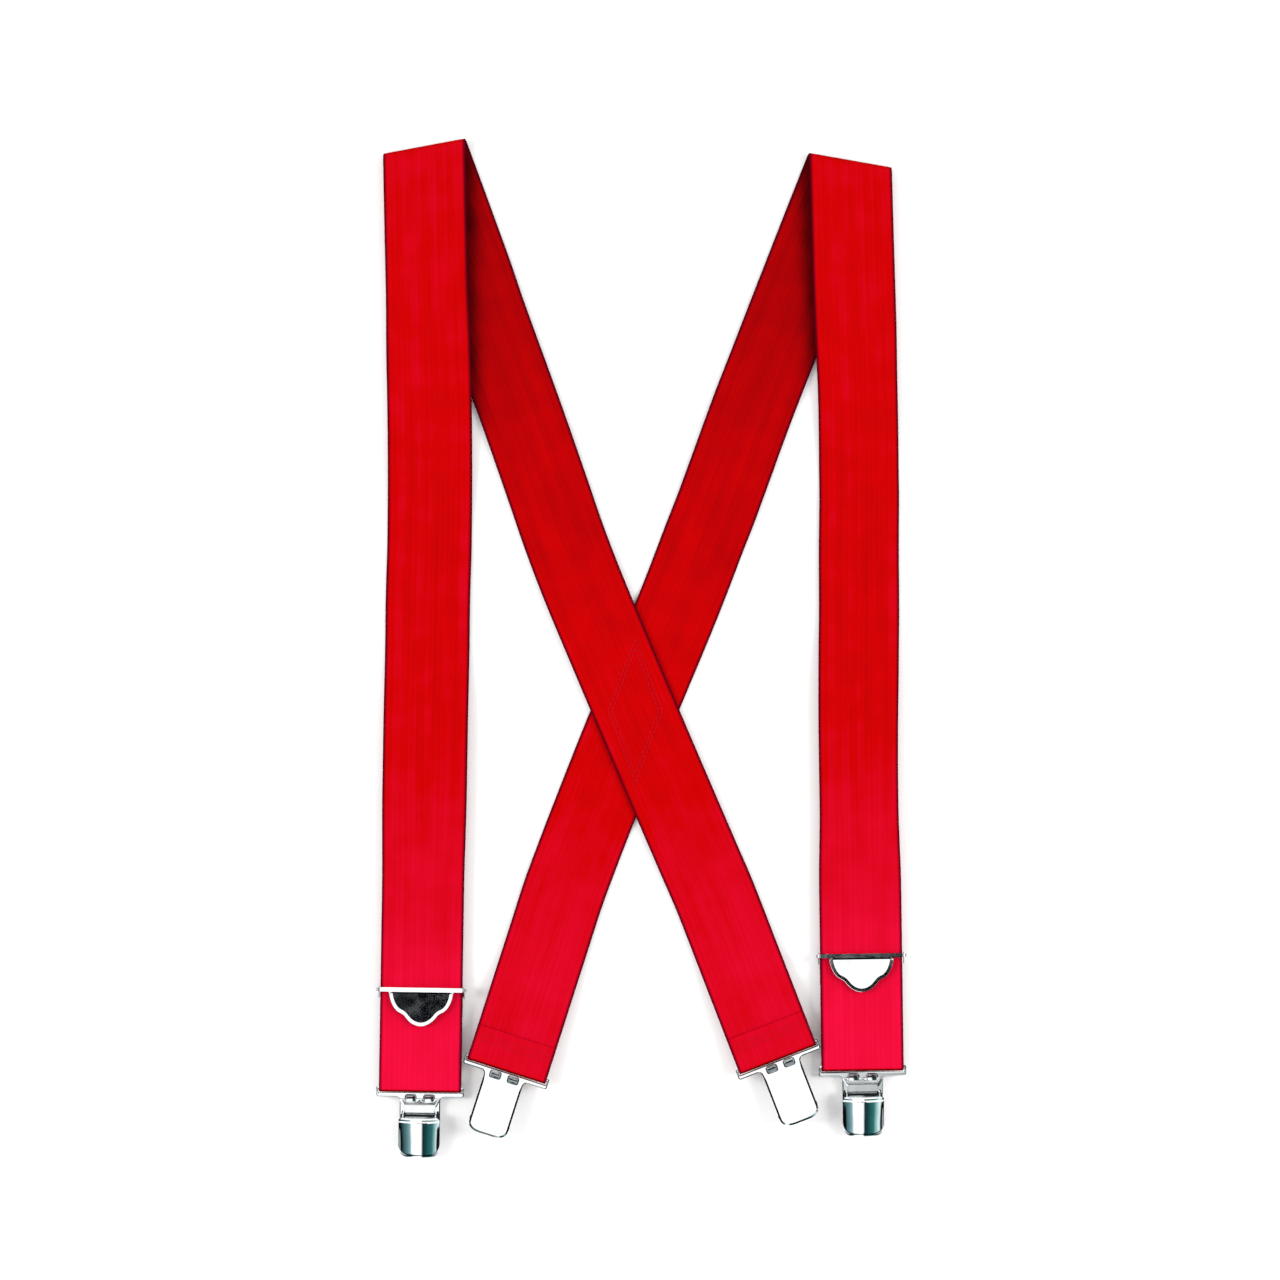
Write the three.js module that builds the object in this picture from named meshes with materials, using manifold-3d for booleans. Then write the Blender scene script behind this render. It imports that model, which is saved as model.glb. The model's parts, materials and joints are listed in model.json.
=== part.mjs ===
// Clip-on X-back suspenders in wide elastic webbing, laid flat with both shoulders folded over.
// Millimetres, +Z up from the table, +X to the right, +Y towards the shoulders.
import * as THREE from 'three';
import { mergeVertices } from 'three/addons/utils/BufferGeometryUtils.js';
import Module from 'manifold-3d';

const wasm = await Module();
wasm.setup();

// ---- driving dimensions -------------------------------------------------------------------

const webWidth = 50.8;
const webThickness = 1.5;
const clearance = 0.3;
const foldRadius = 2.6;

// Both straps: the front run goes from the shoulder fold to a front clip, the back run crosses
// the other strap and ends on a back clip. Headings are degrees from straight down, towards +X,
// at a distance from the shoulder fold. Widths are shares of the web's own width.
const straps = {
  left: {
    shoulder: [-134.4, 311.3],
    frontHeadings: [[0, 1.0], [120, 1.4], [260, -1.1], [400, -0.9]],
    frontWidths: [[80, 1], [140, 1.03], [400, 1.03], [460, 1]],
    backHeadings: [[0, 20.2], [230, 19.1], [320, 22.9], [460, 23.3], [540, 21.2]],
    frontLength: 583.5,
    backLength: 604,
    adjusterDistance: 520.8,
    lapLength: 185,
    crossingDistance: 372,
    bridges: true,
  },
  right: {
    shoulder: [129.2, 302.6],
    frontHeadings: [[0, 1.6], [120, 2.0], [200, 0.5], [300, -0.8], [400, 0.8]],
    frontWidths: [[90, 1], [150, 0.97], [300, 0.98], [400, 0.96], [450, 1]],
    backHeadings: [[0, -21.6], [250, -20.5], [330, -22.8], [440, -21.3], [520, -17.8]],
    frontLength: 561.7,
    backLength: 600.5,
    adjusterDistance: 491,
    lapLength: 140,
    crossingDistance: 366,
    bridges: false,
  },
};
const crossingCentre = [-3.8, -38.8];
const crossingHalfLap = 80;
const crossingHalfLong = 56;
const crossingHalfWide = 21;
const adjusterTravel = 160;
const hemLength = 20;
const selvedgeInset = 3;

// Clip: flat plate with a wire-thin strap bar, sprung jaw, hinge pin and over-centre lever.
const clip = {
  plateThickness: 1.2,
  barHalfWidth: 0.8,
  slotHalfLength: 25.9,
  postWidth: 1.1,
  railTop: -3.0,
  railBottom: -5.6,
  windowInner: 2.6,
  windowOuter: 8.8,
  windowTop: -4.4,
  windowBottom: -8.2,
  tongueHalfWidth: 12.5,
  tongueTip: -43,
  pinY: -16.5,
  pinZ: 5.0,
  pinRadius: 0.9,
  pinHeadRadius: 1.45,
  pinHeadLength: 0.8,
  earInner: 9.6,
  earThickness: 1.0,
  earReach: 1.5,
  leverTip: -41.5,
  leverCrown: 10.2,
  leverDrop: 2.8,
  leverThickness: 0.8,
  leverLength: 25.2,
  barrelRadius: 1.5,
  barrelHalfLength: 8.8,
  camHalfWidth: 6,
  camRadius: 0.7,
  jawThickness: 0.8,
  hookThickness: 0.6,
  hookSideGap: 0.35,
  hookTipY: -5.3,
  hookTipZ: -0.45,
  gripHalfWidth: 9.4,
  gripTip: -39.2,
  gripBack: -25.6,
  gripRibPitch: 2.6,
  gripGrooveWidth: 0.9,
  gripGrooveDepth: 0.35,
};

// Adjuster: bent frame round the strap with a rear bar, and a toothed half-moon flip lever.
const adjuster = {
  innerHalfWidth: 25.9,
  sideThickness: 1.1,
  rearBarZ: -3.45,
  rearBarThickness: 1.2,
  rearBarTop: -2.5,
  rearBarBottom: -6.0,
  pinY: -1.5,
  pinZ: 2.4,
  pinRadius: 0.8,
  pinHeadRadius: 1.3,
  pinHeadLength: 0.7,
  wallTop: 3.9,
  barrelRadius: 1.3,
  barrelHalfLength: 25.5,
  leverHalfWidth: 20,
  leverDepth: 22.5,
  leverBottom: 2.5,
  leverTop: 3.5,
  teeth: 15,
  toothPitch: 2.3,
  toothWidth: 1.4,
};

const halfWeb = webThickness / 2;
const tableHeight = halfWeb;
const overlapHeight = tableHeight + webThickness + clearance + 0.1;
const foldTopHeight = tableHeight + 2 * foldRadius;
const rideHeight = foldTopHeight;
const standOff = 4.4;
const barClearance = 0.5;
const pinPlay = 0.12;
const headGap = 0.15;
const wrapRadius = clip.plateThickness / 2 + barClearance + halfWeb;
const frontBarHeight = rideHeight - wrapRadius;
const backBarHeight = 8;
const strapEndGap = 9;
const leverRest = 20;

// ---- finishes -----------------------------------------------------------------------------

function finish(color, roughness, metalness) {
  return new THREE.MeshStandardMaterial({ color, roughness, metalness });
}

const elasticWeb = finish(0xcc0812, 0.85, 0);
const chromePlate = finish(0xd8dadd, 0.12, 1);
const springSteel = finish(0xc2c4c6, 0.3, 1);
const gripPlastic = finish(0x24262a, 0.6, 0);
const sewingThread = finish(0xa90a14, 0.9, 0);

const suspenders = new THREE.Group();

function addPart(group, name, geometry, material) {
  const mesh = new THREE.Mesh(geometry, material);
  mesh.name = name;
  group.add(mesh);
  return mesh;
}

// ---- solids -------------------------------------------------------------------------------

function toSolid(geometry) {
  const bare = geometry.clone();
  bare.deleteAttribute('normal');
  bare.deleteAttribute('uv');
  const merged = mergeVertices(bare, 1e-4);
  const vertProperties = new Float32Array(merged.attributes.position.array);
  const triVerts = new Uint32Array(merged.index.array);
  return new wasm.Manifold(new wasm.Mesh({ numProp: 3, vertProperties, triVerts }));
}

function toGeometry(solid) {
  const mesh = solid.getMesh();
  const geometry = new THREE.BufferGeometry();
  geometry.setAttribute('position', new THREE.BufferAttribute(mesh.vertProperties, 3));
  geometry.setIndex(new THREE.BufferAttribute(mesh.triVerts, 1));
  geometry.computeVertexNormals();
  return geometry;
}

function box(x0, x1, y0, y1, z0, z1) {
  const geometry = new THREE.BoxGeometry(x1 - x0, y1 - y0, z1 - z0);
  return geometry.translate((x0 + x1) / 2, (y0 + y1) / 2, (z0 + z1) / 2);
}

// A rod along X.
function rod(radius, x0, x1, y, z, sides = 12) {
  const geometry = new THREE.CylinderGeometry(radius, radius, x1 - x0, sides);
  return geometry.rotateZ(Math.PI / 2).translate((x0 + x1) / 2, y, z);
}

// A plan outline (X, Y) raised from z0 to z1.
function plate(shape, z0, z1, curveSegments = 8) {
  const settings = { depth: z1 - z0, bevelEnabled: false, curveSegments };
  return new THREE.ExtrudeGeometry(shape, settings).translate(0, 0, z0);
}

// A side outline (Y, Z) drawn along X from -halfWidth to +halfWidth.
function sideSection(shape, halfWidth, curveSegments = 8) {
  const settings = { depth: 2 * halfWidth, bevelEnabled: false, curveSegments };
  const geometry = new THREE.ExtrudeGeometry(shape, settings);
  const turn = new THREE.Matrix4().set(0, 0, 1, 0, 1, 0, 0, 0, 0, 1, 0, 0, 0, 0, 0, 1);
  return geometry.applyMatrix4(turn).translate(-halfWidth, 0, 0);
}

function outline(points) {
  return new THREE.Shape(points.map(([x, y]) => new THREE.Vector2(x, y)));
}

function roundedBox(x0, x1, y0, y1, r) {
  const shape = new THREE.Shape();
  shape.moveTo(x0 + r, y0);
  shape.lineTo(x1 - r, y0);
  shape.absarc(x1 - r, y0 + r, r, -Math.PI / 2, 0, false);
  shape.absarc(x1 - r, y1 - r, r, 0, Math.PI / 2, false);
  shape.absarc(x0 + r, y1 - r, r, Math.PI / 2, Math.PI, false);
  shape.absarc(x0 + r, y0 + r, r, Math.PI, 1.5 * Math.PI, false);
  return shape;
}

// A sheet of even thickness that follows a side line of (Y, Z) points.
function stripOutline(points, thickness) {
  const line = points.map(([y, z]) => new THREE.Vector2(y, z));
  const upper = [];
  const lower = [];
  line.forEach((point, i) => {
    const before = line[Math.max(i - 1, 0)];
    const after = line[Math.min(i + 1, line.length - 1)];
    const along = after.clone().sub(before).normalize();
    const side = new THREE.Vector2(-along.y, along.x).multiplyScalar(thickness / 2);
    upper.push(point.clone().add(side));
    lower.unshift(point.clone().sub(side));
  });
  return new THREE.Shape([...upper, ...lower]);
}

// ---- strap centre lines -------------------------------------------------------------------

// Smooth steps between [distance, value] stops.
function between(stops, distance) {
  for (let i = 1; i < stops.length; i += 1) {
    const [d0, v0] = stops[i - 1];
    const [d1, v1] = stops[i];
    if (distance < d1) {
      return v0 + (v1 - v0) * THREE.MathUtils.smoothstep(distance, d0, d1);
    }
  }
  return stops[stops.length - 1][1];
}

function headingAt(stops, distance) {
  return THREE.MathUtils.degToRad(between(stops, Math.max(distance, 0)));
}

// Walks a run from the shoulder and returns place(distance), which is straight past both ends.
function centreLine(start, stops, length) {
  const step = 2;
  const points = [new THREE.Vector2(...start)];
  for (let d = step / 2; d < length; d += step) {
    const heading = headingAt(stops, d);
    const next = new THREE.Vector2(Math.sin(heading), -Math.cos(heading)).multiplyScalar(step);
    points.push(points[points.length - 1].clone().add(next));
  }
  return function place(distance) {
    const last = points.length - 1;
    const index = THREE.MathUtils.clamp(Math.floor(distance / step), 0, last - 1);
    const from = points[index];
    const to = points[index + 1];
    return from.clone().lerp(to, distance / step - index);
  };
}

// ---- webbing ------------------------------------------------------------------------------

// Rows across the strap: close together round a bend, wide apart along the straight.
function rowStations(stretches) {
  const rows = [stretches[0][0]];
  stretches.forEach(([from, to, step]) => {
    const count = Math.max(1, Math.round((to - from) / step));
    for (let i = 1; i <= count; i += 1) {
      rows.push(from + ((to - from) * i) / count);
    }
  });
  return rows;
}

// The middle surface of one whole strap. The row position is negative down the front run and
// positive down the back run, and rows near the shoulder lie parallel to the folded edge.
function strapSurface(strap) {
  const frontHeading = headingAt(strap.frontHeadings, 0);
  const backHeading = headingAt(strap.backHeadings, 0);
  const skew = (backHeading - frontHeading) / 2;
  const creaseAngle = (backHeading + frontHeading) / 2;
  const creaseNormal = new THREE.Vector2(-Math.sin(creaseAngle), Math.cos(creaseAngle));
  const frontLine = centreLine(strap.shoulder, strap.frontHeadings, strap.frontLength);
  const backLine = centreLine(strap.shoulder, strap.backHeadings, strap.backLength);
  const rampEnd = strap.adjusterDistance - adjusterTravel;
  const frontHeights = [
    [12, foldTopHeight],
    [strap.lapLength, standOff],
    [strap.lapLength + 60, tableHeight],
    [rampEnd - 60, tableHeight],
    [rampEnd, rideHeight],
  ];
  const crossing = strap.crossingDistance;
  const bridgeHeight = strap.bridges ? overlapHeight : tableHeight;
  const endHeight = backBarHeight - wrapRadius;
  const backHeights = [
    [crossing - crossingHalfLap - 45, tableHeight],
    [crossing - crossingHalfLap, bridgeHeight],
    [crossing + crossingHalfLap, bridgeHeight],
    [crossing + crossingHalfLap + 40, tableHeight],
    [strap.backLength - 100, tableHeight],
    [strap.backLength - 25, endHeight],
  ];

  // Folds a row over the crease and gives its shift across the crease and its height.
  function overShoulder(row) {
    const w = row * Math.cos(skew);
    const bend = (Math.PI / 2) * foldRadius;
    if (Math.abs(w) >= bend) {
      return { shift: 0, height: null };
    }
    const turn = w / foldRadius;
    const shift = foldRadius * Math.cos(turn) + Math.abs(w) - bend;
    return { shift, height: tableHeight + foldRadius * (1 - Math.sin(turn)) };
  }

  // Wraps the end of a run half way round a clip's strap bar.
  function roundBar(distance, barDistance, flatHeight, upOrDown) {
    const past = distance - barDistance;
    const turn = past / wrapRadius;
    if (past <= 0) {
      return { distance, height: flatHeight };
    }
    if (turn < Math.PI) {
      const height = flatHeight + upOrDown * wrapRadius * (1 - Math.cos(turn));
      return { distance: barDistance + wrapRadius * Math.sin(turn), height };
    }
    const back = past - Math.PI * wrapRadius;
    return { distance: barDistance - back, height: flatHeight + upOrDown * 2 * wrapRadius };
  }

  return function place(row, across) {
    const skewShare = 1 - THREE.MathUtils.smoothstep(Math.abs(row), 60, 150);
    const along = row + across * Math.tan(skew) * skewShare;
    const fold = overShoulder(row);
    const onFront = row < 0;
    const run = onFront
      ? roundBar(-along, strap.frontLength, between(frontHeights, -row), -1)
      : roundBar(along, strap.backLength, between(backHeights, row), 1);
    const line = onFront ? frontLine : backLine;
    const stops = onFront ? strap.frontHeadings : strap.backHeadings;
    const heading = headingAt(stops, run.distance);
    const reach = onFront ? across * between(strap.frontWidths, -row) : across;
    const point = line(run.distance);
    point.x += reach * Math.cos(heading);
    point.y += reach * Math.sin(heading);
    point.addScaledVector(creaseNormal, fold.shift);
    const height = fold.height === null ? run.height : fold.height;
    return new THREE.Vector3(point.x, point.y, height);
  };
}

// A closed web of even thickness over the given rows of a strap's middle surface.
function webSolid(surface, rows) {
  const geometry = new THREE.BoxGeometry(1, 1, 1, rows.length - 1, 1, 1);
  const position = geometry.attributes.position;
  const nudge = 0.01;
  for (let i = 0; i < position.count; i += 1) {
    const row = rows[Math.round((position.getX(i) + 0.5) * (rows.length - 1))];
    const across = position.getY(i) * webWidth;
    const middle = surface(row, across);
    const alongWeb = surface(row + nudge, across).sub(surface(row - nudge, across));
    const acrossWeb = surface(row, across + nudge).sub(surface(row, across - nudge));
    const up = alongWeb.cross(acrossWeb).normalize();
    middle.addScaledVector(up, position.getZ(i) * webThickness);
    position.setXYZ(i, middle.x, middle.y, middle.z);
  }
  geometry.computeVertexNormals();
  return geometry;
}

// The long web from above the front clip, over the shoulder, to the sewn hem of the back clip.
function strapWeb(strap, surface) {
  const barTurn = Math.PI * wrapRadius;
  const rows = rowStations([
    [-(strap.frontLength - strapEndGap), -300, 14],
    [-300, -90, 10],
    [-90, -6, 6],
    [-6, 6, 1],
    [6, 90, 6],
    [90, strap.backLength, 10],
    [strap.backLength, strap.backLength + barTurn, 0.8],
    [strap.backLength + barTurn, strap.backLength + barTurn + hemLength, 5],
  ]);
  return webSolid(surface, rows);
}

// The short bight of the same web where it turns round the front clip's strap bar.
function bightWeb(strap, surface) {
  const barTurn = Math.PI * wrapRadius;
  const start = -(strap.frontLength + barTurn + strapEndGap);
  const rows = rowStations([
    [start, start + strapEndGap, 4],
    [start + strapEndGap, -strap.frontLength, 0.8],
    [-strap.frontLength, -(strap.frontLength - strapEndGap + clearance), 4],
  ]);
  return webSolid(surface, rows);
}

// The web coming back up behind the front run and sewn round the adjuster's rear bar. Its side
// line is in the adjuster's own frame, with the front run's middle at height 0.
function returnWeb(reach) {
  const middle = (adjuster.rearBarTop + adjuster.rearBarBottom) / 2;
  const radius = adjuster.rearBarThickness / 2 + clearance + halfWeb;
  const upper = adjuster.rearBarZ + radius;
  const lower = adjuster.rearBarZ - radius;
  const clipEnd = -reach + strapEndGap + clearance;
  const line = [
    [clipEnd, -2 * wrapRadius],
    [-30, -2 * wrapRadius],
    [-20, (upper - 2 * wrapRadius) / 2],
    [-11, upper],
    [middle, upper],
  ];
  const turnSteps = 8;
  for (let i = 0; i <= turnSteps; i += 1) {
    const turn = (Math.PI * i) / turnSteps;
    line.push([
      adjuster.rearBarTop + radius * Math.sin(turn),
      adjuster.rearBarZ + radius * Math.cos(turn),
    ]);
  }
  line.push([-hemLength, lower]);
  return sideSection(stripOutline(line, webThickness), webWidth / 2);
}

// ---- clip ---------------------------------------------------------------------------------

// Clip frame: origin at the middle of the strap bar, +Y back up the strap, +Z the lever side.
function clipPlate() {
  const outer = clip.slotHalfLength + clip.postWidth;
  const tongue = clip.tongueHalfWidth;
  const corner = 5;
  const shape = new THREE.Shape();
  shape.moveTo(-outer, clip.barHalfWidth);
  shape.lineTo(-outer, clip.railBottom + 1);
  shape.lineTo(-outer + 1, clip.railBottom);
  shape.lineTo(-tongue - 2, clip.railBottom);
  shape.lineTo(-tongue, clip.railBottom - 2.5);
  shape.lineTo(-tongue, clip.tongueTip + corner);
  shape.quadraticCurveTo(-tongue, clip.tongueTip + 0.6, -tongue + 7, clip.tongueTip + 0.2);
  shape.lineTo(0, clip.tongueTip);
  shape.lineTo(tongue - 7, clip.tongueTip + 0.2);
  shape.quadraticCurveTo(tongue, clip.tongueTip + 0.6, tongue, clip.tongueTip + corner);
  shape.lineTo(tongue, clip.railBottom - 2.5);
  shape.lineTo(tongue + 2, clip.railBottom);
  shape.lineTo(outer - 1, clip.railBottom);
  shape.lineTo(outer, clip.railBottom + 1);
  shape.lineTo(outer, clip.barHalfWidth);
  const slot = clip.slotHalfLength;
  shape.holes.push(roundedBox(-slot, slot, clip.railTop, -clip.barHalfWidth, 0.6));
  for (const x0 of [-clip.windowOuter, clip.windowInner]) {
    const x1 = x0 + clip.windowOuter - clip.windowInner;
    shape.holes.push(roundedBox(x0, x1, clip.windowBottom, clip.windowTop, 0.9));
  }
  const half = clip.plateThickness / 2;
  return plate(shape, -half, half, 3);
}

// Ear bent up from the plate to carry one end of the hinge pin.
function clipEar(side) {
  const inner = clip.earInner;
  const outer = inner + clip.earThickness;
  const reach = clip.earReach;
  const profile = new THREE.Shape();
  profile.moveTo(clip.pinY - reach, 0);
  profile.lineTo(clip.pinY + reach, 0);
  profile.lineTo(clip.pinY + reach, clip.pinZ);
  profile.absarc(clip.pinY, clip.pinZ, reach, 0, Math.PI, false);
  const ear = sideSection(profile, clip.earThickness / 2, 8);
  return ear.translate((side * (inner + outer)) / 2, 0, 0);
}

function clipBore() {
  const halfLength = clip.tongueHalfWidth + 1;
  return toSolid(rod(clip.pinRadius + pinPlay, -halfLength, halfLength, clip.pinY, clip.pinZ));
}

function clipBody() {
  const body = toSolid(clipPlate()).add(toSolid(clipEar(-1))).add(toSolid(clipEar(1)));
  return toGeometry(body.subtract(clipBore()));
}

// A pin along X with a head just past each end of what it joins.
function headedPin(part, halfGrip) {
  const { pinRadius, pinHeadRadius, pinHeadLength, pinY, pinZ } = part;
  const inner = halfGrip + headGap;
  const outer = inner + pinHeadLength;
  const shaftEnd = inner + pinHeadLength / 2;
  const shaft = toSolid(rod(pinRadius, -shaftEnd, shaftEnd, pinY, pinZ));
  const rightHead = toSolid(rod(pinHeadRadius, inner, outer, pinY, pinZ));
  const leftHead = toSolid(rod(pinHeadRadius, -outer, -inner, pinY, pinZ));
  return toGeometry(shaft.add(rightHead).add(leftHead));
}

// One of the jaw's two hooks, which slope down into the plate's windows and hold the jaw on.
function jawHook(x0, x1) {
  const line = [
    [-9.4, 1.58],
    [-8.0, 1.45],
    [clip.hookTipY, clip.hookTipZ],
  ];
  const halfWidth = (x1 - x0) / 2 - clip.hookSideGap;
  const hook = sideSection(stripOutline(line, clip.hookThickness), halfWidth);
  return toSolid(hook.translate((x0 + x1) / 2, 0, 0));
}

// Sprung jaw: three lugs and two hooks at the rail, necked between the ears, raised over the
// grip at its tip.
function clipJaw() {
  const side = stripOutline([
    [-6.4, 1.35],
    [-11, 1.7],
    [-18.4, 1.75],
    [-23.6, 3.9],
    [-39.4, 3.9],
    [-41.2, 3.2],
  ], clip.jawThickness);
  const plan = outline([
    [-13.2, -6.2],
    [-9.2, -13.5],
    [-9.2, -19.5],
    [-10.6, -22],
    [-10.6, -39.5],
    [-8.5, -41.6],
    [8.5, -41.6],
    [10.6, -39.5],
    [10.6, -22],
    [9.2, -19.5],
    [9.2, -13.5],
    [13.2, -6.2],
  ]);
  let stamped = toSolid(sideSection(side, 15)).intersect(toSolid(plate(plan, -1, 8, 4)));
  for (const x0 of [-clip.windowOuter, clip.windowInner]) {
    const x1 = x0 + clip.windowOuter - clip.windowInner;
    stamped = stamped.subtract(toSolid(box(x0, x1, clip.windowBottom, 0, 0, 3)));
    stamped = stamped.add(jawHook(x0, x1));
  }
  return toGeometry(stamped);
}

// Two plastic grips, one stuck to the tongue and one to the jaw, ribbed across.
function clipGrip(z0, z1, ribsUp) {
  const half = clip.gripHalfWidth;
  const pad = roundedBox(-half, half, clip.gripTip, clip.gripBack, 2);
  const face = ribsUp ? z1 : z0;
  const depth = clip.gripGrooveDepth;
  let ribbed = toSolid(plate(pad, z0, z1, 2));
  for (let i = 0; i < 5; i += 1) {
    const y = clip.gripTip + 1.6 + i * clip.gripRibPitch;
    const groove = box(-half - 1, half + 1, y, y + clip.gripGrooveWidth, face - depth, face + depth);
    ribbed = ribbed.subtract(toSolid(groove));
  }
  return toGeometry(ribbed);
}

// Over-centre lever: arched cover, hinge barrel on the pin and a cam nose that shuts the jaw.
function clipLever() {
  const width = 2 * clip.tongueHalfWidth;
  const arch = new THREE.BoxGeometry(width, clip.leverLength, clip.leverThickness, 10, 6, 1);
  const position = arch.attributes.position;
  const top = clip.pinY + 0.2;
  const crown = clip.leverCrown - clip.leverThickness / 2;
  for (let i = 0; i < position.count; i += 1) {
    const x = position.getX(i);
    const y = position.getY(i) + top - clip.leverLength / 2;
    const tipDrop = THREE.MathUtils.smoothstep(top - y, 8, 26) * 1.1;
    const neckDrop = (1 - THREE.MathUtils.smoothstep(top - y, 0, 3)) * 0.7;
    const sideDrop = clip.leverDrop * (x / clip.tongueHalfWidth) ** 2;
    position.setXYZ(i, x, y, position.getZ(i) + crown - sideDrop - tipDrop - neckDrop);
  }
  const half = clip.tongueHalfWidth + 0.1;
  const trim = new THREE.Shape();
  trim.moveTo(-half + 1.5, top + 0.1);
  trim.lineTo(-half, top - 1.5);
  trim.lineTo(-half, clip.leverTip + 6);
  trim.quadraticCurveTo(-half + 0.4, clip.leverTip + 0.8, -half + 6, clip.leverTip + 0.3);
  trim.lineTo(0, clip.leverTip);
  trim.lineTo(half - 6, clip.leverTip + 0.3);
  trim.quadraticCurveTo(half - 0.4, clip.leverTip + 0.8, half, clip.leverTip + 6);
  trim.lineTo(half, top - 1.5);
  trim.lineTo(half - 1.5, top + 0.1);
  const cover = toSolid(arch).intersect(toSolid(plate(trim, 0, 14, 4)));

  const { pinY, pinZ, barrelRadius, barrelHalfLength, camHalfWidth } = clip;
  const barrel = toSolid(rod(barrelRadius, -barrelHalfLength, barrelHalfLength, pinY, pinZ));
  const neck = box(-barrelHalfLength, barrelHalfLength, pinY - 1.3, pinY + 0.1, pinZ, 8.4);
  const nose = rod(clip.camRadius, -camHalfWidth, camHalfWidth, pinY - 2.9, pinZ - 1.4, 10);
  const arm = outline([
    [pinY - 1.2, pinZ + 0.9],
    [pinY - 0.6, pinZ - 1.2],
    [pinY - 3.2, pinZ - 2.05],
    [pinY - 3.4, pinZ - 0.9],
  ]);
  const cam = toSolid(sideSection(arm, camHalfWidth)).add(toSolid(nose));
  return toGeometry(cover.add(toSolid(neck)).add(barrel).add(cam).subtract(clipBore()));
}

function addClip(group, prefix) {
  addPart(group, `${prefix}_clip_plate`, clipBody(), chromePlate);
  const pin = headedPin(clip, clip.earInner + clip.earThickness);
  addPart(group, `${prefix}_clip_pin`, pin, springSteel);
  addPart(group, `${prefix}_clip_jaw`, clipJaw(), springSteel);
  addPart(group, `${prefix}_clip_tongue_grip`, clipGrip(0.9, 1.95, true), gripPlastic);
  addPart(group, `${prefix}_clip_jaw_grip`, clipGrip(2.25, 3.2, false), gripPlastic);
  addPart(group, `${prefix}_clip_lever`, clipLever(), chromePlate);
}

// ---- adjuster -----------------------------------------------------------------------------

// Adjuster frame: origin on the front run's middle, +Y up the strap, +Z the outer face.
function adjusterBore() {
  const { pinRadius, innerHalfWidth, pinY, pinZ } = adjuster;
  const halfLength = innerHalfWidth + 4;
  return toSolid(rod(pinRadius + pinPlay, -halfLength, halfLength, pinY, pinZ));
}

// Two walls beside the web, joined behind it by the rear bar and in front by the hinge pin.
function adjusterFrame() {
  const inner = adjuster.innerHalfWidth;
  const outer = inner + adjuster.sideThickness;
  const barLow = adjuster.rearBarZ - adjuster.rearBarThickness / 2;
  const barHigh = adjuster.rearBarZ + adjuster.rearBarThickness / 2;
  const rear = box(-outer, outer, adjuster.rearBarBottom, adjuster.rearBarTop, barLow, barHigh);
  const profile = outline([
    [adjuster.rearBarBottom - 1, barLow],
    [adjuster.rearBarTop, barLow],
    [0.5, -0.8],
    [0.5, 2.8],
    [adjuster.pinY + 1, adjuster.wallTop],
    [adjuster.pinY - 1, adjuster.wallTop],
    [adjuster.pinY - 2, 2.8],
    [adjuster.rearBarBottom - 1, -1.4],
  ]);
  let frame = toSolid(rear);
  for (const side of [-1, 1]) {
    const wall = sideSection(profile, adjuster.sideThickness / 2);
    frame = frame.add(toSolid(wall.translate((side * (inner + outer)) / 2, 0, 0)));
  }
  return toGeometry(frame.subtract(adjusterBore()));
}

// Half-moon with a softly scalloped lower edge.
function halfMoon() {
  const half = adjuster.leverHalfWidth;
  const depth = adjuster.leverDepth;
  const shape = new THREE.Shape();
  shape.moveTo(-half, 0);
  shape.bezierCurveTo(-half, -6.5, -half + 3, -12.6, -half + 6.8, -14.2);
  shape.quadraticCurveTo(-half + 8.8, -15, -half + 10.2, -16.8);
  shape.bezierCurveTo(-7.4, -20.2, -3.8, -depth, 0, -depth);
  shape.bezierCurveTo(3.8, -depth, 7.4, -20.2, half - 10.2, -16.8);
  shape.quadraticCurveTo(half - 8.8, -15, half - 6.8, -14.2);
  shape.bezierCurveTo(half - 3, -12.6, half, -6.5, half, 0);
  return shape;
}

function adjusterLever() {
  const { pinY, pinZ, barrelRadius, barrelHalfLength, leverBottom, leverTop } = adjuster;
  const sheet = plate(halfMoon(), leverBottom, leverTop, 6).translate(0, pinY, 0);
  const barrel = rod(barrelRadius, -barrelHalfLength, barrelHalfLength, pinY, pinZ);
  const tooth = outline([
    [pinY - 1.0, leverBottom + 0.2],
    [pinY - 2.3, halfWeb + clearance + 0.05],
    [pinY - 3.4, leverBottom + 0.2],
  ]);
  let lever = toSolid(sheet).add(toSolid(barrel));
  for (let i = 0; i < adjuster.teeth; i += 1) {
    const x = (i - (adjuster.teeth - 1) / 2) * adjuster.toothPitch;
    lever = lever.add(toSolid(sideSection(tooth, adjuster.toothWidth / 2).translate(x, 0, 0)));
  }
  return toGeometry(lever.subtract(adjusterBore()));
}

// ---- seams --------------------------------------------------------------------------------

// Lockstitch row across the web.
function seamRow() {
  const half = webWidth / 2 - selvedgeInset;
  return box(-half, half, -0.5, 0.5, 0, 0.4);
}

// Stitching round the diamond where the two straps cross.
function crossSeam() {
  const inset = 0.8;
  const lineShare = 0.13;
  const corners = (size) => [
    [0, crossingHalfLong * size],
    [-crossingHalfWide * size, 0],
    [0, -crossingHalfLong * size],
    [crossingHalfWide * size, 0],
  ];
  const shape = outline(corners(inset));
  const hole = corners(inset * (1 - lineShare)).map(([x, y]) => new THREE.Vector2(x, y));
  shape.holes.push(new THREE.Path(hole));
  return plate(shape, 0, 0.3);
}

// ---- assembly -----------------------------------------------------------------------------

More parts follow.
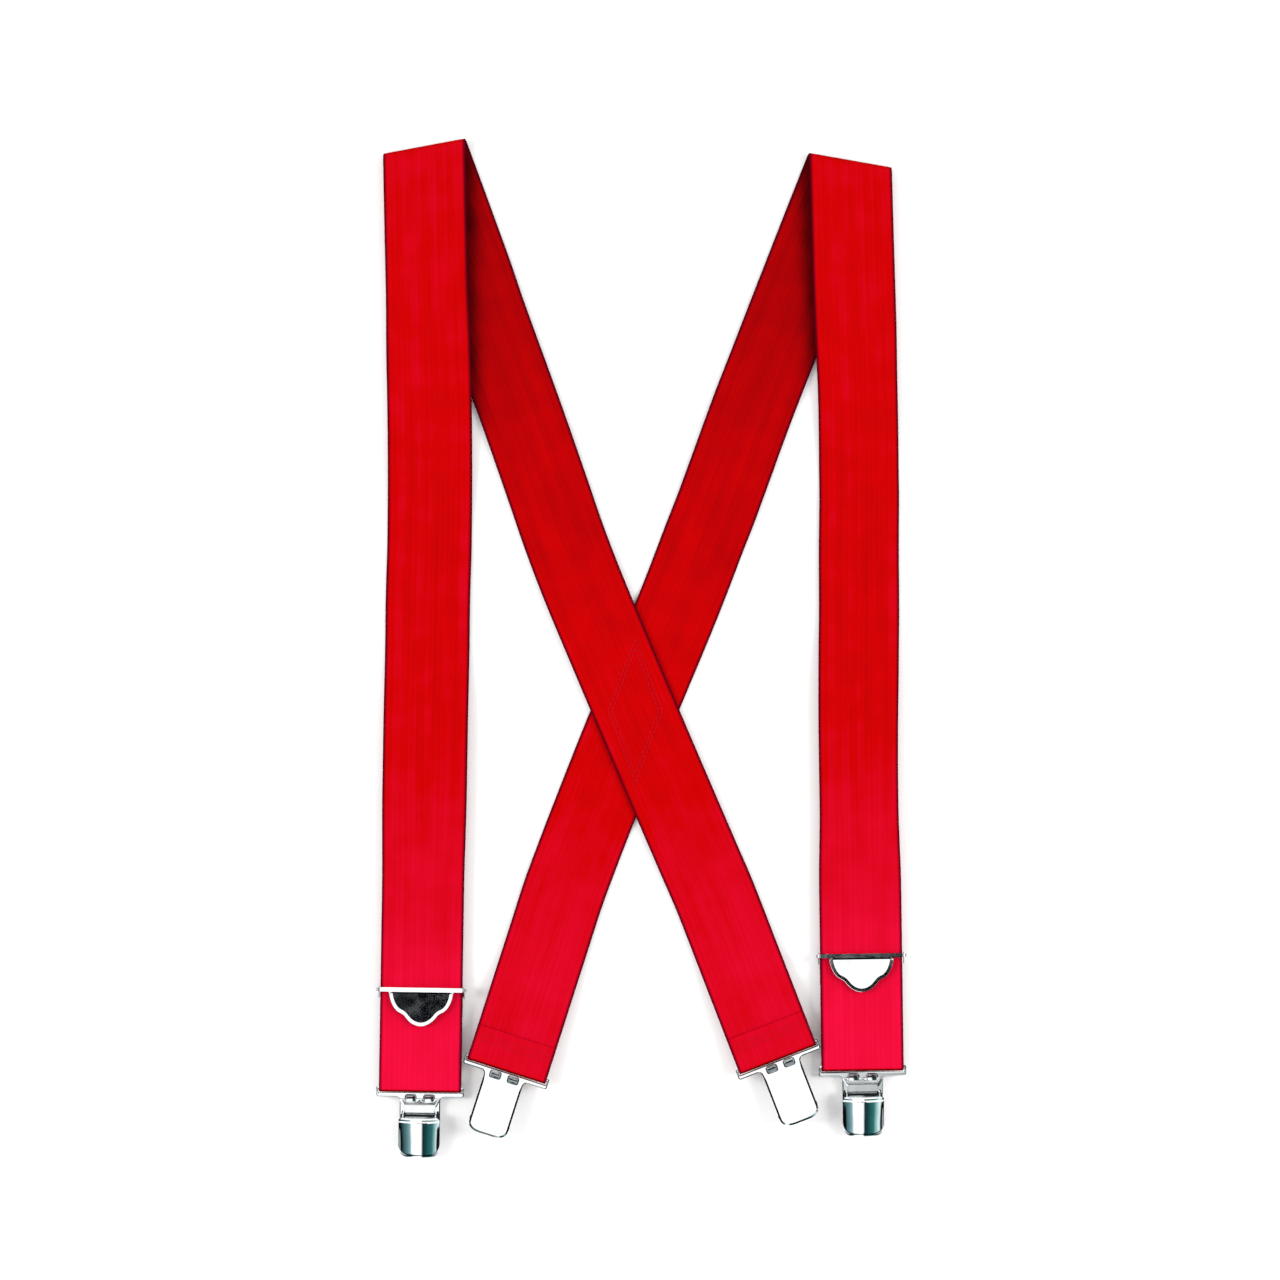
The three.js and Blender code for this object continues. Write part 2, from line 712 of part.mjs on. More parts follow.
// A group standing on a run of a strap, +Y back up the run.
function groupOnRun(start, stops, length, distance, height) {
  const group = new THREE.Group();
  const point = centreLine(start, stops, length)(distance);
  group.position.set(point.x, point.y, height);
  group.rotation.z = headingAt(stops, distance);
  suspenders.add(group);
  return group;
}

for (const side of ['left', 'right']) {
  const strap = straps[side];
  const surface = strapSurface(strap);
  const front = [strap.shoulder, strap.frontHeadings, strap.frontLength];
  const back = [strap.shoulder, strap.backHeadings, strap.backLength];
  addPart(suspenders, `${side}_strap`, strapWeb(strap, surface), elasticWeb);
  addPart(suspenders, `${side}_front_bight`, bightWeb(strap, surface), elasticWeb);

  const slider = groupOnRun(...front, strap.adjusterDistance, rideHeight);
  const reach = strap.frontLength - strap.adjusterDistance;
  addPart(slider, `${side}_return_web`, returnWeb(reach), elasticWeb);
  addPart(slider, `${side}_adjuster_frame`, adjusterFrame(), chromePlate);
  const pin = headedPin(adjuster, adjuster.innerHalfWidth + adjuster.sideThickness);
  addPart(slider, `${side}_adjuster_pin`, pin, springSteel);
  addPart(slider, `${side}_adjuster_lever`, adjusterLever(), chromePlate);

  // The front clip droops until its tip touches the table.
  const frontClip = groupOnRun(...front, strap.frontLength, frontBarHeight);
  const droop = new THREE.Group();
  const plateDrop = frontBarHeight - clip.plateThickness / 2;
  droop.rotation.x = Math.asin(plateDrop / -clip.tongueTip);
  frontClip.add(droop);
  addClip(droop, `${side}_front`);

  // The back clip lies on its lever, so its flat tongue faces up.
  const backClip = groupOnRun(...back, strap.backLength, backBarHeight);
  const turned = new THREE.Group();
  turned.rotation.y = Math.PI;
  turned.rotation.x = -Math.asin((clip.leverCrown - backBarHeight) / leverRest);
  backClip.add(turned);
  addClip(turned, `${side}_back`);

  const hemTop = backBarHeight + wrapRadius + halfWeb + 0.1;
  const hem = groupOnRun(...back, strap.backLength - hemLength + 5, hemTop);
  addPart(hem, `${side}_back_hem_thread`, seamRow(), sewingThread);
}

const crossing = new THREE.Group();
crossing.position.set(...crossingCentre, overlapHeight + halfWeb + 0.1);
addPart(crossing, 'cross_seam_thread', crossSeam(), sewingThread);
suspenders.add(crossing);

// The origin is the middle of the object's outline on the table.
const bounds = new THREE.Box3().setFromObject(suspenders, true);
suspenders.position.x = -(bounds.min.x + bounds.max.x) / 2;
suspenders.position.y = -(bounds.min.y + bounds.max.y) / 2;
suspenders.position.z = -bounds.min.z;

export default suspenders;
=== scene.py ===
import json
import math

import bmesh
import bpy
from mathutils import Matrix, Vector, noise


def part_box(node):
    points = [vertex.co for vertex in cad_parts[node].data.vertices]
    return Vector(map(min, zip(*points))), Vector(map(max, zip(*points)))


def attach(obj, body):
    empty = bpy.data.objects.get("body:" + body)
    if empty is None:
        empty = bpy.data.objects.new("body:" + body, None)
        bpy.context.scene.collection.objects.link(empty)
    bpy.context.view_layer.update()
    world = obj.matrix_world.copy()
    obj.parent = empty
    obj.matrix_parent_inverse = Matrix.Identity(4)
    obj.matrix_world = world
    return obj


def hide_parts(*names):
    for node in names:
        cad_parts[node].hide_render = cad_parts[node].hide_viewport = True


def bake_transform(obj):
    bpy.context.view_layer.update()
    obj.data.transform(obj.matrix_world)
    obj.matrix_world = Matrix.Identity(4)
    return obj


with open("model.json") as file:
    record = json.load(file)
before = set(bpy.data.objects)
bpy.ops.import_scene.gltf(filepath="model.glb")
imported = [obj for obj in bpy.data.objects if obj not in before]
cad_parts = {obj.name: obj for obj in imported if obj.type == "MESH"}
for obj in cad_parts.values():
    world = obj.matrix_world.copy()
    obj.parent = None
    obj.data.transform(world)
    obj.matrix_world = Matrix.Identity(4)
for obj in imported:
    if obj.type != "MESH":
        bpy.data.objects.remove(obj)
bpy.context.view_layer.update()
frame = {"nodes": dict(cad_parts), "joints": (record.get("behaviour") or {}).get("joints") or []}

mm = 0.001
joints = {joint["name"]: joint for joint in frame["joints"]}
print("frame loaded:", len(frame["nodes"]), "cad pieces")


# --- small maths shared by the pieces

def smoothStep(low, high, x):
    t = min(max((x - low) / (high - low), 0.0), 1.0)
    return t * t * (3 - 2 * t)


def between(stops, x):
    # stops are [place, value] pairs, joined by smooth steps
    for (x0, v0), (x1, v1) in zip(stops, stops[1:]):
        if x < x1:
            return v0 + (v1 - v0) * smoothStep(x0, x1, x)
    return stops[-1][1]


def spaced(stretches):
    # rows along a piece: close together where it bends, wide apart where it is straight
    rows = [stretches[0][0]]
    for start, end, step in stretches:
        count = max(1, round((end - start) / step))
        rows += [start + (end - start) * i / count for i in range(1, count + 1)]
    return rows


def arc(x, y, radius, startDegrees, endDegrees, steps):
    turns = [math.radians(startDegrees + (endDegrees - startDegrees) * i / steps) for i in range(steps + 1)]
    return [(x + radius * math.cos(t), y + radius * math.sin(t)) for t in turns]


def bezier(p0, p1, p2, p3, steps):
    points = []
    for i in range(1, steps + 1):
        t = i / steps
        s = 1 - t
        weights = (s ** 3, 3 * s * s * t, 3 * s * t * t, t ** 3)
        points.append(tuple(sum(w * p[k] for w, p in zip(weights, (p0, p1, p2, p3))) for k in (0, 1)))
    return points


# --- materials

def linearColour(hexText):
    def toLinear(share):
        return share / 12.92 if share <= 0.04045 else ((share + 0.055) / 1.055) ** 2.4
    return tuple(toLinear(int(hexText[i:i + 2], 16) / 255) for i in (1, 3, 5)) + (1.0,)


def addNode(tree, kind, settings=None):
    # a setting is a property, or an input's plain value, hex colour or source in another node
    node = tree.nodes.new(kind)
    for key, value in (settings or {}).items():
        if isinstance(value, bpy.types.NodeSocket):
            tree.links.new(value, node.inputs[key])
        elif isinstance(key, int) or key in node.inputs:
            node.inputs[key].default_value = linearColour(value) if isinstance(value, str) else value
        else:
            setattr(node, key, value)
    return node


def mathNode(tree, operation, *operands):
    return addNode(tree, "ShaderNodeMath", {"operation": operation, **dict(enumerate(operands))}).outputs[0]


def noiseNode(tree, place, scale, detail, roughness=0.5):
    settings = {"Scale": scale, "Detail": detail, "Roughness": roughness, "Vector": place}
    return addNode(tree, "ShaderNodeTexNoise", settings).outputs[0]


def rangeNode(tree, value, low, high, toLow=0.0, toHigh=1.0):
    settings = {"From Min": low, "From Max": high, "To Min": toLow, "To Max": toHigh, "Value": value}
    return addNode(tree, "ShaderNodeMapRange", settings).outputs[0]


def mixNode(tree, share, first, second, blend="MIX"):
    settings = {"data_type": "RGBA", "blend_type": blend, 0: share, 6: first, 7: second}
    return addNode(tree, "ShaderNodeMix", settings).outputs[2]


def bumpNode(tree, height, strength, depth):
    settings = {"Strength": strength, "Distance": depth * mm, "Height": height}
    return addNode(tree, "ShaderNodeBump", settings).outputs["Normal"]


def newMaterial(name):
    material = bpy.data.materials.new(name)
    material.use_nodes = True
    tree = material.node_tree
    tree.nodes.clear()
    return material, tree


def finishMaterial(tree, settings):
    shader = addNode(tree, "ShaderNodeBsdfPrincipled", settings)
    addNode(tree, "ShaderNodeOutputMaterial", {"Surface": shader.outputs["BSDF"]})


webLook = {
    "shadowRed": "#4c0003",  # painted shadow, beside the shoulder fold and where the web turns round a bar
    "deepRed": "#860104",
    "midRed": "#b80103",
    "brightRed": "#d80b36",
    "edgeShadeRed": "#3c0010",    # painted shade along the selvedges
    "ribPitch": 3.175,       # mm, sixteen warp ribs across the web
    "pickPitch": 1.6,        # mm, real picks are 0.8 mm; drawn coarser so that they show
    "ribDepth": 0.08,        # mm
    "mottleSize": 22,        # mm, slow change of the dye along the web
    "streakWidth": 5.5,      # mm, bundles of warp that took the dye a little differently
    "streakLength": 130,     # mm
    "selvedgeWidth": 2.1,    # mm, from the web's edge in to where the painted edge shade starts
    "selvedgeEdge": 0.7,     # mm, from the web's edge in to where it is darkest
}


def elasticWebbing():
    # Woven polyester over rubber: matt and saturated, faint ribs along it, painted shade in the rib hollows and
    # along the selvedges.
    material, tree = newMaterial("wovenElasticWebbing")
    uv = addNode(tree, "ShaderNodeUVMap", {"uv_map": "webUv"}).outputs["UV"]
    place = addNode(tree, "ShaderNodeSeparateXYZ", {0: uv})
    across, along = place.outputs["X"], place.outputs["Y"]
    rib = mathNode(tree, "COSINE", mathNode(tree, "MULTIPLY", across, 2 * math.pi / webLook["ribPitch"]))
    pickTurn = mathNode(tree, "MULTIPLY", along, 2 * math.pi / webLook["pickPitch"])
    pick = mathNode(tree, "SINE", mathNode(tree, "MULTIPLY_ADD", rib, 1.3, pickTurn))
    fibre = noiseNode(tree, uv, 1.4, 3.0, 0.6)
    cloth = mathNode(tree, "MULTIPLY_ADD", pick, 0.4, mathNode(tree, "MULTIPLY", rib, 0.5))
    relief = mathNode(tree, "MULTIPLY_ADD", fibre, 0.8, cloth)
    bump = bumpNode(tree, relief, 0.55, webLook["ribDepth"])

    # the tone on the mesh is painted shade, darkest at the shoulder folds and bar turns; the dye drifts a
    # little about it
    tone = addNode(tree, "ShaderNodeAttribute", {"attribute_name": "tone"}).outputs["Fac"]
    bundle = addNode(tree, "ShaderNodeMapping", {
        "Scale": (1 / webLook["streakWidth"], 1 / webLook["streakLength"], 1), "Vector": uv})
    mottle = noiseNode(tree, uv, 1 / webLook["mottleSize"], 2.0)
    streak = noiseNode(tree, bundle.outputs[0], 1.0, 2.0)
    drift = mathNode(tree, "MULTIPLY_ADD", streak, 0.24, mathNode(tree, "MULTIPLY_ADD", mottle, 0.20, -0.22))
    ramp = addNode(tree, "ShaderNodeValToRGB", {0: mathNode(tree, "ADD", tone, drift)})
    for stop in (0.25, 0.6):
        ramp.color_ramp.elements.new(stop)
    for element, colour in zip(ramp.color_ramp.elements, ("shadowRed", "deepRed", "midRed", "brightRed")):
        element.color = linearColour(webLook[colour])
    # painted shade: the hollows between the ribs and picks are darkened by up to a tenth
    ribHollowShade = rangeNode(tree, cloth, -0.9, 0.9, 0.90)
    dyed = mixNode(tree, 1.0, ramp.outputs["Color"], ribHollowShade, "MULTIPLY")
    # painted shade: the web darkens towards both selvedges
    half = web["width"] / 2
    reach = mathNode(tree, "ABSOLUTE", mathNode(tree, "SUBTRACT", across, half))
    selvedge = rangeNode(tree, reach, half - webLook["selvedgeWidth"], half - webLook["selvedgeEdge"], 0.0, 0.9)
    finishMaterial(tree, {
        "Roughness": 0.85, "IOR": 1.45, "Specular IOR Level": 0.03, "Sheen Weight": 0.05,
        "Sheen Roughness": 0.5, "Sheen Tint": "#ff2030",
        "Base Color": mixNode(tree, selvedge, dyed, webLook["edgeShadeRed"]), "Normal": bump})
    return material


def steel(name, colour, wornColour, roughness, scratchStrength):
    # Steel: a sharp mirror where it was buffed, a soft one where it was tumbled or blackened.
    material, tree = newMaterial(name)
    place = addNode(tree, "ShaderNodeTexCoord").outputs["Object"]
    stretch = addNode(tree, "ShaderNodeMapping", {"Scale": (500, 90, 500), "Vector": place})
    lines = noiseNode(tree, stretch.outputs[0], 6.0, 4.0)
    handling = noiseNode(tree, place, 140.0, 3.0)
    worn = rangeNode(tree, handling, 0.45, 0.75, 0.0, 0.35)
    finishMaterial(tree, {
        "Metallic": 1.0, "Base Color": mixNode(tree, worn, colour, wornColour),
        "Roughness": rangeNode(tree, handling, 0.35, 0.7, roughness, roughness * 1.8),
        "Normal": bumpNode(tree, lines, scratchStrength, 0.01)})
    return material


def mouldedGrip():
    # Moulded soft plastic: near black, with a fine spark-eroded grain.
    material, tree = newMaterial("mouldedPlasticGrip")
    place = addNode(tree, "ShaderNodeTexCoord").outputs["Object"]
    grain = noiseNode(tree, place, 2500.0, 2.0)
    finishMaterial(tree, {
        "Roughness": 0.55, "IOR": 1.5, "Base Color": mixNode(tree, grain, "#1d1f22", "#303338"),
        "Normal": bumpNode(tree, grain, 0.3, 0.03)})
    return material


def sewingThread():
    # Spun polyester thread, twisted: a little darker and duller than the web it is sewn through.
    material, tree = newMaterial("spunPolyesterThread")
    place = addNode(tree, "ShaderNodeTexCoord").outputs["Object"]
    twist = addNode(tree, "ShaderNodeTexWave", {
        "bands_direction": "DIAGONAL", "Scale": 900.0, "Distortion": 1.5, "Vector": place}).outputs["Fac"]
    finishMaterial(tree, {
        "Roughness": 0.8, "IOR": 1.5, "Specular IOR Level": 0.15,
        "Base Color": mixNode(tree, twist, "#a3061a", "#cc0a28"), "Normal": bumpNode(tree, twist, 0.4, 0.05)})
    return material


# --- webbing

web = {
    "width": 50.8,
    "thickness": 1.5,
    "selvedge": 0.7,         # mm, how far the rounded edges reach in
    "foldRadius": 2.6,       # mm, at the shoulders, to the middle of the web
    "standOff": 4.4,         # mm, the springy fold holds the front run up over the back run
    "wrapRadius": 1.85,      # mm, round a clip's strap bar
    "hemLength": 20,
    "bightLength": 9,        # mm of web behind the bar that still belongs to the front run
    "crossingHalfLap": 80,
    "adjusterTravel": 160,
    "overlapGap": 0.4,
    "backBarHeight": 8.0,
}
# each run's tone stops are painted shade along it: the back run darkest at the shoulder, both runs lighter
# towards the clips
strapRuns = {
    "left": {
        "shoulder": (-134.4, 311.3),
        "frontHeadings": [[0, 1.0], [120, 1.4], [260, -1.1], [400, -0.9]],
        "frontWidths": [[80, 1], [140, 1.03], [400, 1.03], [460, 1]],
        "backHeadings": [[0, 20.2], [230, 19.1], [320, 22.9], [460, 23.3], [540, 21.2]],
        "frontLength": 583.5, "backLength": 604, "adjusterDistance": 520.8,
        "lapLength": 185, "crossing": 372, "bridges": True, "inward": 1,
        "frontTone": [[0, 0.64], [120, 0.60], [360, 0.60], [470, 0.72], [520, 0.86], [560, 0.97]],
        "backTone": [[0, 0.26], [90, 0.36], [230, 0.48], [372, 0.58], [560, 0.72]],
        "seed": 3.7,
    },
    "right": {
        "shoulder": (129.2, 302.6),
        "frontHeadings": [[0, 1.6], [120, 2.0], [200, 0.5], [300, -0.8], [400, 0.8]],
        "frontWidths": [[90, 1], [150, 0.97], [300, 0.98], [400, 0.96], [450, 1]],
        "backHeadings": [[0, -21.6], [250, -20.5], [330, -22.8], [440, -21.3], [520, -17.8]],
        "frontLength": 561.7, "backLength": 600.5, "adjusterDistance": 491,
        "lapLength": 140, "crossing": 366, "bridges": False, "inward": -1,
        "frontTone": [[0, 0.62], [120, 0.59], [330, 0.58], [440, 0.72], [490, 0.86], [540, 0.97]],
        "backTone": [[0, 0.26], [90, 0.36], [230, 0.48], [372, 0.58], [560, 0.72]],
        "seed": 11.2,
    },
}
halfWeb = web["thickness"] / 2
tableHeight = halfWeb
overlapHeight = tableHeight + web["thickness"] + web["overlapGap"]
foldTopHeight = tableHeight + 2 * web["foldRadius"]
rideHeight = foldTopHeight


def headingAt(stops, distance):
    return math.radians(between(stops, max(distance, 0)))


def centreLine(start, stops, length):
    # walks a run from the shoulder; the answer is straight past both ends
    step = 2
    points = [Vector(start)]
    for i in range(math.ceil(length / step)):
        heading = headingAt(stops, (i + 0.5) * step)
        points.append(points[-1] + Vector((math.sin(heading), -math.cos(heading))) * step)

    def place(distance):
        index = min(max(math.floor(distance / step), 0), len(points) - 2)
        return points[index].lerp(points[index + 1], distance / step - index)
    return place


def strapSurface(side):
    run = strapRuns[side]
    frontHeading = headingAt(run["frontHeadings"], 0)
    backHeading = headingAt(run["backHeadings"], 0)
    skew = (backHeading - frontHeading) / 2
    crease = (backHeading + frontHeading) / 2
    creaseNormal = Vector((-math.sin(crease), math.cos(crease)))
    backLength = run["backLength"]
    layoutEnd = centreLine(run["shoulder"], run["backHeadings"], backLength)(backLength)
    barPlace = Vector(joints[f"{side}_back_clip_swivel"]["pos_m"][:2]) / mm
    start = Vector(run["shoulder"]) + barPlace - layoutEnd
    frontLine = centreLine(start, run["frontHeadings"], run["frontLength"])
    backLine = centreLine(start, run["backHeadings"], backLength)
    lapEnd = run["lapLength"]
    rampEnd = run["adjusterDistance"] - web["adjusterTravel"]
    frontHeights = [[12, foldTopHeight], [lapEnd, web["standOff"]], [lapEnd + 60, tableHeight],
                    [rampEnd - 60, tableHeight], [rampEnd, rideHeight]]
    crossing = run["crossing"]
    lap = web["crossingHalfLap"]
    bridge = overlapHeight if run["bridges"] else tableHeight
    endHeight = web["backBarHeight"] - web["wrapRadius"]
    backHeights = [[crossing - lap - 45, tableHeight], [crossing - lap, bridge], [crossing + lap, bridge],
                   [crossing + lap + 40, tableHeight], [backLength - 100, tableHeight],
                   [backLength - 25, endHeight]]
    # where the web lies free on the table, it may lift and wander a little
    freeFront = [[lapEnd + 50, 0], [lapEnd + 80, 1], [rampEnd - 60, 1], [rampEnd - 25, 0]]
    freeBack = [[60, 0], [110, 1], [crossing - lap - 60, 1], [crossing - lap - 30, 0],
                [crossing + lap + 20, 0], [crossing + lap + 50, 1], [backLength - 110, 1],
                [backLength - 60, 0]]

    def overShoulder(row):
        w = row * math.cos(skew)
        bend = math.pi / 2 * web["foldRadius"]
        if abs(w) >= bend:
            return 0.0, None
        turn = w / web["foldRadius"]
        shift = web["foldRadius"] * math.cos(turn) + abs(w) - bend
        return shift, tableHeight + web["foldRadius"] * (1 - math.sin(turn))

    def roundBar(distance, barDistance, flat, upOrDown):
        past = distance - barDistance
        radius = web["wrapRadius"]
        if past <= 0:
            return distance, flat
        if past < math.pi * radius:
            turn = past / radius
            return barDistance + radius * math.sin(turn), flat + upOrDown * radius * (1 - math.cos(turn))
        back = past - math.pi * radius
        lift = 2 * radius
        if upOrDown > 0:  # the hem closes down onto the web that it is sewn to
            lift += (web["thickness"] + 0.12 - lift) * smoothStep(0.5, 9, back)
        return barDistance - back, flat + upOrDown * lift

    def place(row, across):
        share = 1 - smoothStep(60, 150, abs(row))
        along = row + across * math.tan(skew) * share
        shift, foldHeight = overShoulder(row)
        if row < 0:
            distance, height = roundBar(-along, run["frontLength"], between(frontHeights, -row), -1)
            line, stops, free = frontLine, run["frontHeadings"], between(freeFront, -row)
        else:
            distance, height = roundBar(along, backLength, between(backHeights, row), 1)
            line, stops, free = backLine, run["backHeadings"], between(freeBack, row)
        heading = headingAt(stops, distance)
        wander = 0.9 * free * noise.noise((row / 70, run["seed"], 0))
        lift = free * (0.25 + 0.5 * noise.noise((row / 45, run["seed"], 5)) ** 2 * 4)
        curl = free * 0.5 * (across / 25.4) ** 2 * (1 + noise.noise((row / 38, run["seed"], across / 25.4)))
        point = line(distance) + creaseNormal * shift
        reach = wander + across * (between(run["frontWidths"], -row) if row < 0 else 1)
        x = point.x + reach * math.cos(heading)
        y = point.y + reach * math.sin(heading)
        return Vector((x, y, (height if foldHeight is None else foldHeight) + lift + curl))
    return place


def webProfile():
    # the closed outline of the web's cut end: ribbed faces between rounded selvedges
    half = web["width"] / 2
    flat = half - web["selvedge"]
    columns = 48
    ribs = web["width"] / webLook["ribPitch"]
    depth = 0.05
    top = []
    for i in range(columns + 1):
        across = -flat + 2 * flat * i / columns
        dip = depth * (1 - math.cos(2 * math.pi * ribs * (across + half) / web["width"]))
        top.append((across, halfWeb - dip))
    edge = [(flat + web["selvedge"] * math.sin(t), halfWeb * math.cos(t) * 0.96)
            for t in (math.pi * i / 6 for i in range(1, 6))]
    bottom = [(across, -lift) for across, lift in reversed(top)]
    otherEdge = [(-across, -lift) for across, lift in edge]
    return top + edge + bottom + otherEdge


def webMesh(name, rows, place, toneAt, alongStart=0.0):
    profile = webProfile()
    nudge = 0.02
    verts, tones, uvs = [], [], []
    for row in rows:
        for across, lift in profile:
            ahead, behind = place(row + nudge, across), place(row - nudge, across)
            right, left = place(row, across + nudge), place(row, across - nudge)
            up = (ahead - behind).cross(right - left).normalized()
            verts.append((place(row, across) + up * lift) * mm)
            tones.append(toneAt(row, across))
            uvs.append((across + web["width"] / 2, row + alongStart))
    count = len(profile)
    faces = []
    for i in range(len(rows) - 1):
        for k in range(count):
            after = (k + 1) % count
            faces.append((i * count + k, i * count + after, (i + 1) * count + after, (i + 1) * count + k))
    faces.append(tuple(reversed(range(count))))
    faces.append(tuple((len(rows) - 1) * count + k for k in range(count)))
    mesh = bpy.data.meshes.new(name)
    mesh.from_pydata(verts, [], faces)
    layer = mesh.uv_layers.new(name="webUv")
    for loop in mesh.loops:
        layer.data[loop.index].uv = uvs[loop.vertex_index]
    attribute = mesh.attributes.new("tone", "FLOAT", "POINT")
    attribute.data.foreach_set("value", tones)
    outward(mesh)
    return mesh


def softenedFaces(shape):
    # real corners stay sharp, and so does the rim of a flat face, so that it mirrors as one plane
    corner, slight = math.radians(38), math.radians(8)
    flatShare = 0.998
    for face in shape.faces:
        face.smooth = True
    for edge in shape.edges:
        turn = edge.calc_face_angle(0)
        flats = [max(abs(share) for share in face.normal) > flatShare for face in edge.link_faces]
        edge.smooth = turn < corner and not (turn > slight and any(flats) and not all(flats))


def outward(mesh):
    shape = bmesh.new()
    shape.from_mesh(mesh)
    bmesh.ops.recalc_face_normals(shape, faces=shape.faces)
    shape.to_mesh(mesh)
    shape.free()
    mesh.shade_smooth()
    mesh.set_sharp_from_angle(angle=math.radians(38))


def placed(name, data):
    thing = bpy.data.objects.new(name, data)
    bpy.context.scene.collection.objects.link(thing)
    return thing


def showPiece(name, mesh, material, slot, body, stoodFor):
    piece = placed(name, mesh)
    mesh.materials.clear()
    mesh.materials.append(material)
    if body:
        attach(piece, body)
    for node in stoodFor:
        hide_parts(node)
    return piece


def showParts(owner, matrix, parts):
    # a part is the piece's and node's endings, its shape and sizes, material, slot and body's ending
    for piece, node, shape, sizes, material, slot, ending in parts:
        name = f"{owner}_{piece}"
        showPiece(name, shape(matrix, name, *sizes), material, slot, owner + ending, [f"{owner}_{node}"])


# --- stitches

def stitchMesh(name, paths, pitch=3.2, length=2.5, radius=0.3):
    # each path is a list of points in mm; every stitch is a small capsule lying on it
    shape = bmesh.new()
    for path in paths:
        for start, end in zip(path, path[1:]):
            run = end - start
            count = max(1, round(run.length / pitch))
            direction = run.normalized()
            side = direction.cross(Vector((0, 0, 1))).normalized()
            up = side.cross(direction)
            turn = Matrix((side, direction, up)).transposed().to_4x4()
            for i in range(count):
                middle = start + run * (i + 0.5) / count
                made = bmesh.ops.create_uvsphere(shape, u_segments=8, v_segments=6, radius=1.0)
                size = Matrix.Diagonal((radius, radius, length / 2, 1))
                lay = Matrix.Rotation(math.radians(90), 4, "X")
                matrix = Matrix.Translation(middle) @ turn @ lay @ size
                bmesh.ops.transform(shape, matrix=Matrix.Scale(mm, 4) @ matrix, verts=made["verts"])
    mesh = bpy.data.meshes.new(name)
    shape.to_mesh(mesh)
    shape.free()
    mesh.shade_smooth()
    return mesh


# --- metal pieces, drawn in millimetres in a clip's or an adjuster's own frame

def stampedMesh(outline, holes, thickness, bevel, plane="XY", coined=None):
    # a flat blank centred on its own plane, with rounded edges, or with flat ones coined down by
    # so many millimetres
    squeeze = coined / bevel if coined else 1
    curve = bpy.data.curves.new("blank", "CURVE")
    curve.dimensions = "2D"
    curve.fill_mode = "BOTH"
    for points in [outline, *holes]:
        spline = curve.splines.new("POLY")
        spline.points.add(len(points) - 1)
        for i, (x, y) in enumerate(points):
            spline.points[i].co = (x, y, 0, 1)
        spline.use_cyclic_u = True
    curve.extrude = thickness / 2 / squeeze - bevel
    curve.bevel_depth = bevel
    curve.bevel_resolution = 0 if coined else 3
    curve.offset = -bevel
    drawn = bpy.data.objects.new("blank", curve)
    mesh = bpy.data.meshes.new_from_object(drawn)
    bpy.data.objects.remove(drawn)
    bpy.data.curves.remove(curve)
    mesh.transform(Matrix.Diagonal((1, 1, squeeze, 1)))
    if plane == "YZ":
        mesh.transform(Matrix(((0, 0, 1, 0), (1, 0, 0, 0), (0, 1, 0, 0), (0, 0, 0, 1))))
    return mesh


def sheetMesh(place, us, vs, thickness, bevel, isHole=None):
    # bent sheet metal: a grid bent by place(u, v), then given its thickness and soft edges
    mesh = bpy.data.meshes.new("sheet")
    verts = [place(u, v) for v in vs for u in us]
    faces = []
    for j in range(len(vs) - 1):
        for i in range(len(us) - 1):
            if isHole and isHole((us[i] + us[i + 1]) / 2, (vs[j] + vs[j + 1]) / 2):
                continue
            k = j * len(us) + i
            faces.append((k, k + 1, k + 1 + len(us), k + len(us)))
    mesh.from_pydata(verts, [], faces)
    sheet = placed("sheet", mesh)
    solid = sheet.modifiers.new("thickness", "SOLIDIFY")
    solid.thickness = thickness
    solid.offset = 0
    solid.use_even_offset = True
    soft = sheet.modifiers.new("edges", "BEVEL")
    soft.width = bevel
    soft.segments = 3
    soft.limit_method = "ANGLE"
    soft.angle_limit = math.radians(45)
    graph = bpy.context.evaluated_depsgraph_get()
    made = bpy.data.meshes.new_from_object(sheet.evaluated_get(graph))
    bpy.data.objects.remove(sheet)
    bpy.data.meshes.remove(mesh)
    return made


def ringsMesh(outlines):
    # skins a row of closed outlines with as many points each, and closes both ends
    shape = bmesh.new()
    rings = [[shape.verts.new(point) for point in outline] for outline in outlines]
    for ring, after in zip(rings, rings[1:]):
        for k in range(len(ring)):
            n = (k + 1) % len(ring)
            shape.faces.new((ring[k], ring[n], after[n], after[k]))
    shape.faces.new(rings[0])
    shape.faces.new(rings[-1])
    mesh = bpy.data.meshes.new("rings")
    shape.to_mesh(mesh)
    shape.free()
    return mesh


def turnedMesh(profile, y, z, sides=28):
    # profile is [x, radius] pairs, turned about an axis along X
    turns = [2 * math.pi * k / sides for k in range(sides)]
    return ringsMesh([[(x, y + radius * math.cos(t), z + radius * math.sin(t)) for t in turns]
                      for x, radius in profile])


def barMesh(x0, x1, y0, y1, z0, z1, bevel):
    # a square-drawn bar along X with soft corners
    bar = stampedMesh([(y0, z0), (y1, z0), (y1, z1), (y0, z1)], [], x1 - x0, bevel, "YZ")
    return moved(bar, (x0 + x1) / 2, 0, 0)


def moved(mesh, x, y, z):
    mesh.transform(Matrix.Translation((x, y, z)))
    return mesh


def joined(name, meshes, matrix):
    shape = bmesh.new()
    for mesh in meshes:
        shape.from_mesh(mesh)
        bpy.data.meshes.remove(mesh)
    bmesh.ops.remove_doubles(shape, verts=shape.verts, dist=1e-4)
    bmesh.ops.recalc_face_normals(shape, faces=shape.faces)
    whole = bpy.data.meshes.new(name)
    softenedFaces(shape)
    shape.to_mesh(whole)
    shape.free()
    whole.transform(matrix @ Matrix.Scale(mm, 4))
    return whole


def localFrame(origin, right, up):
    # a frame whose X is right and whose Z is as near up as it can be
    x = Vector(right).normalized()
    z = (Vector(up) - x * x.dot(Vector(up))).normalized()
    y = z.cross(x)
    return Matrix.Translation(origin) @ Matrix((x, y, z)).transposed().to_4x4()


# --- clips

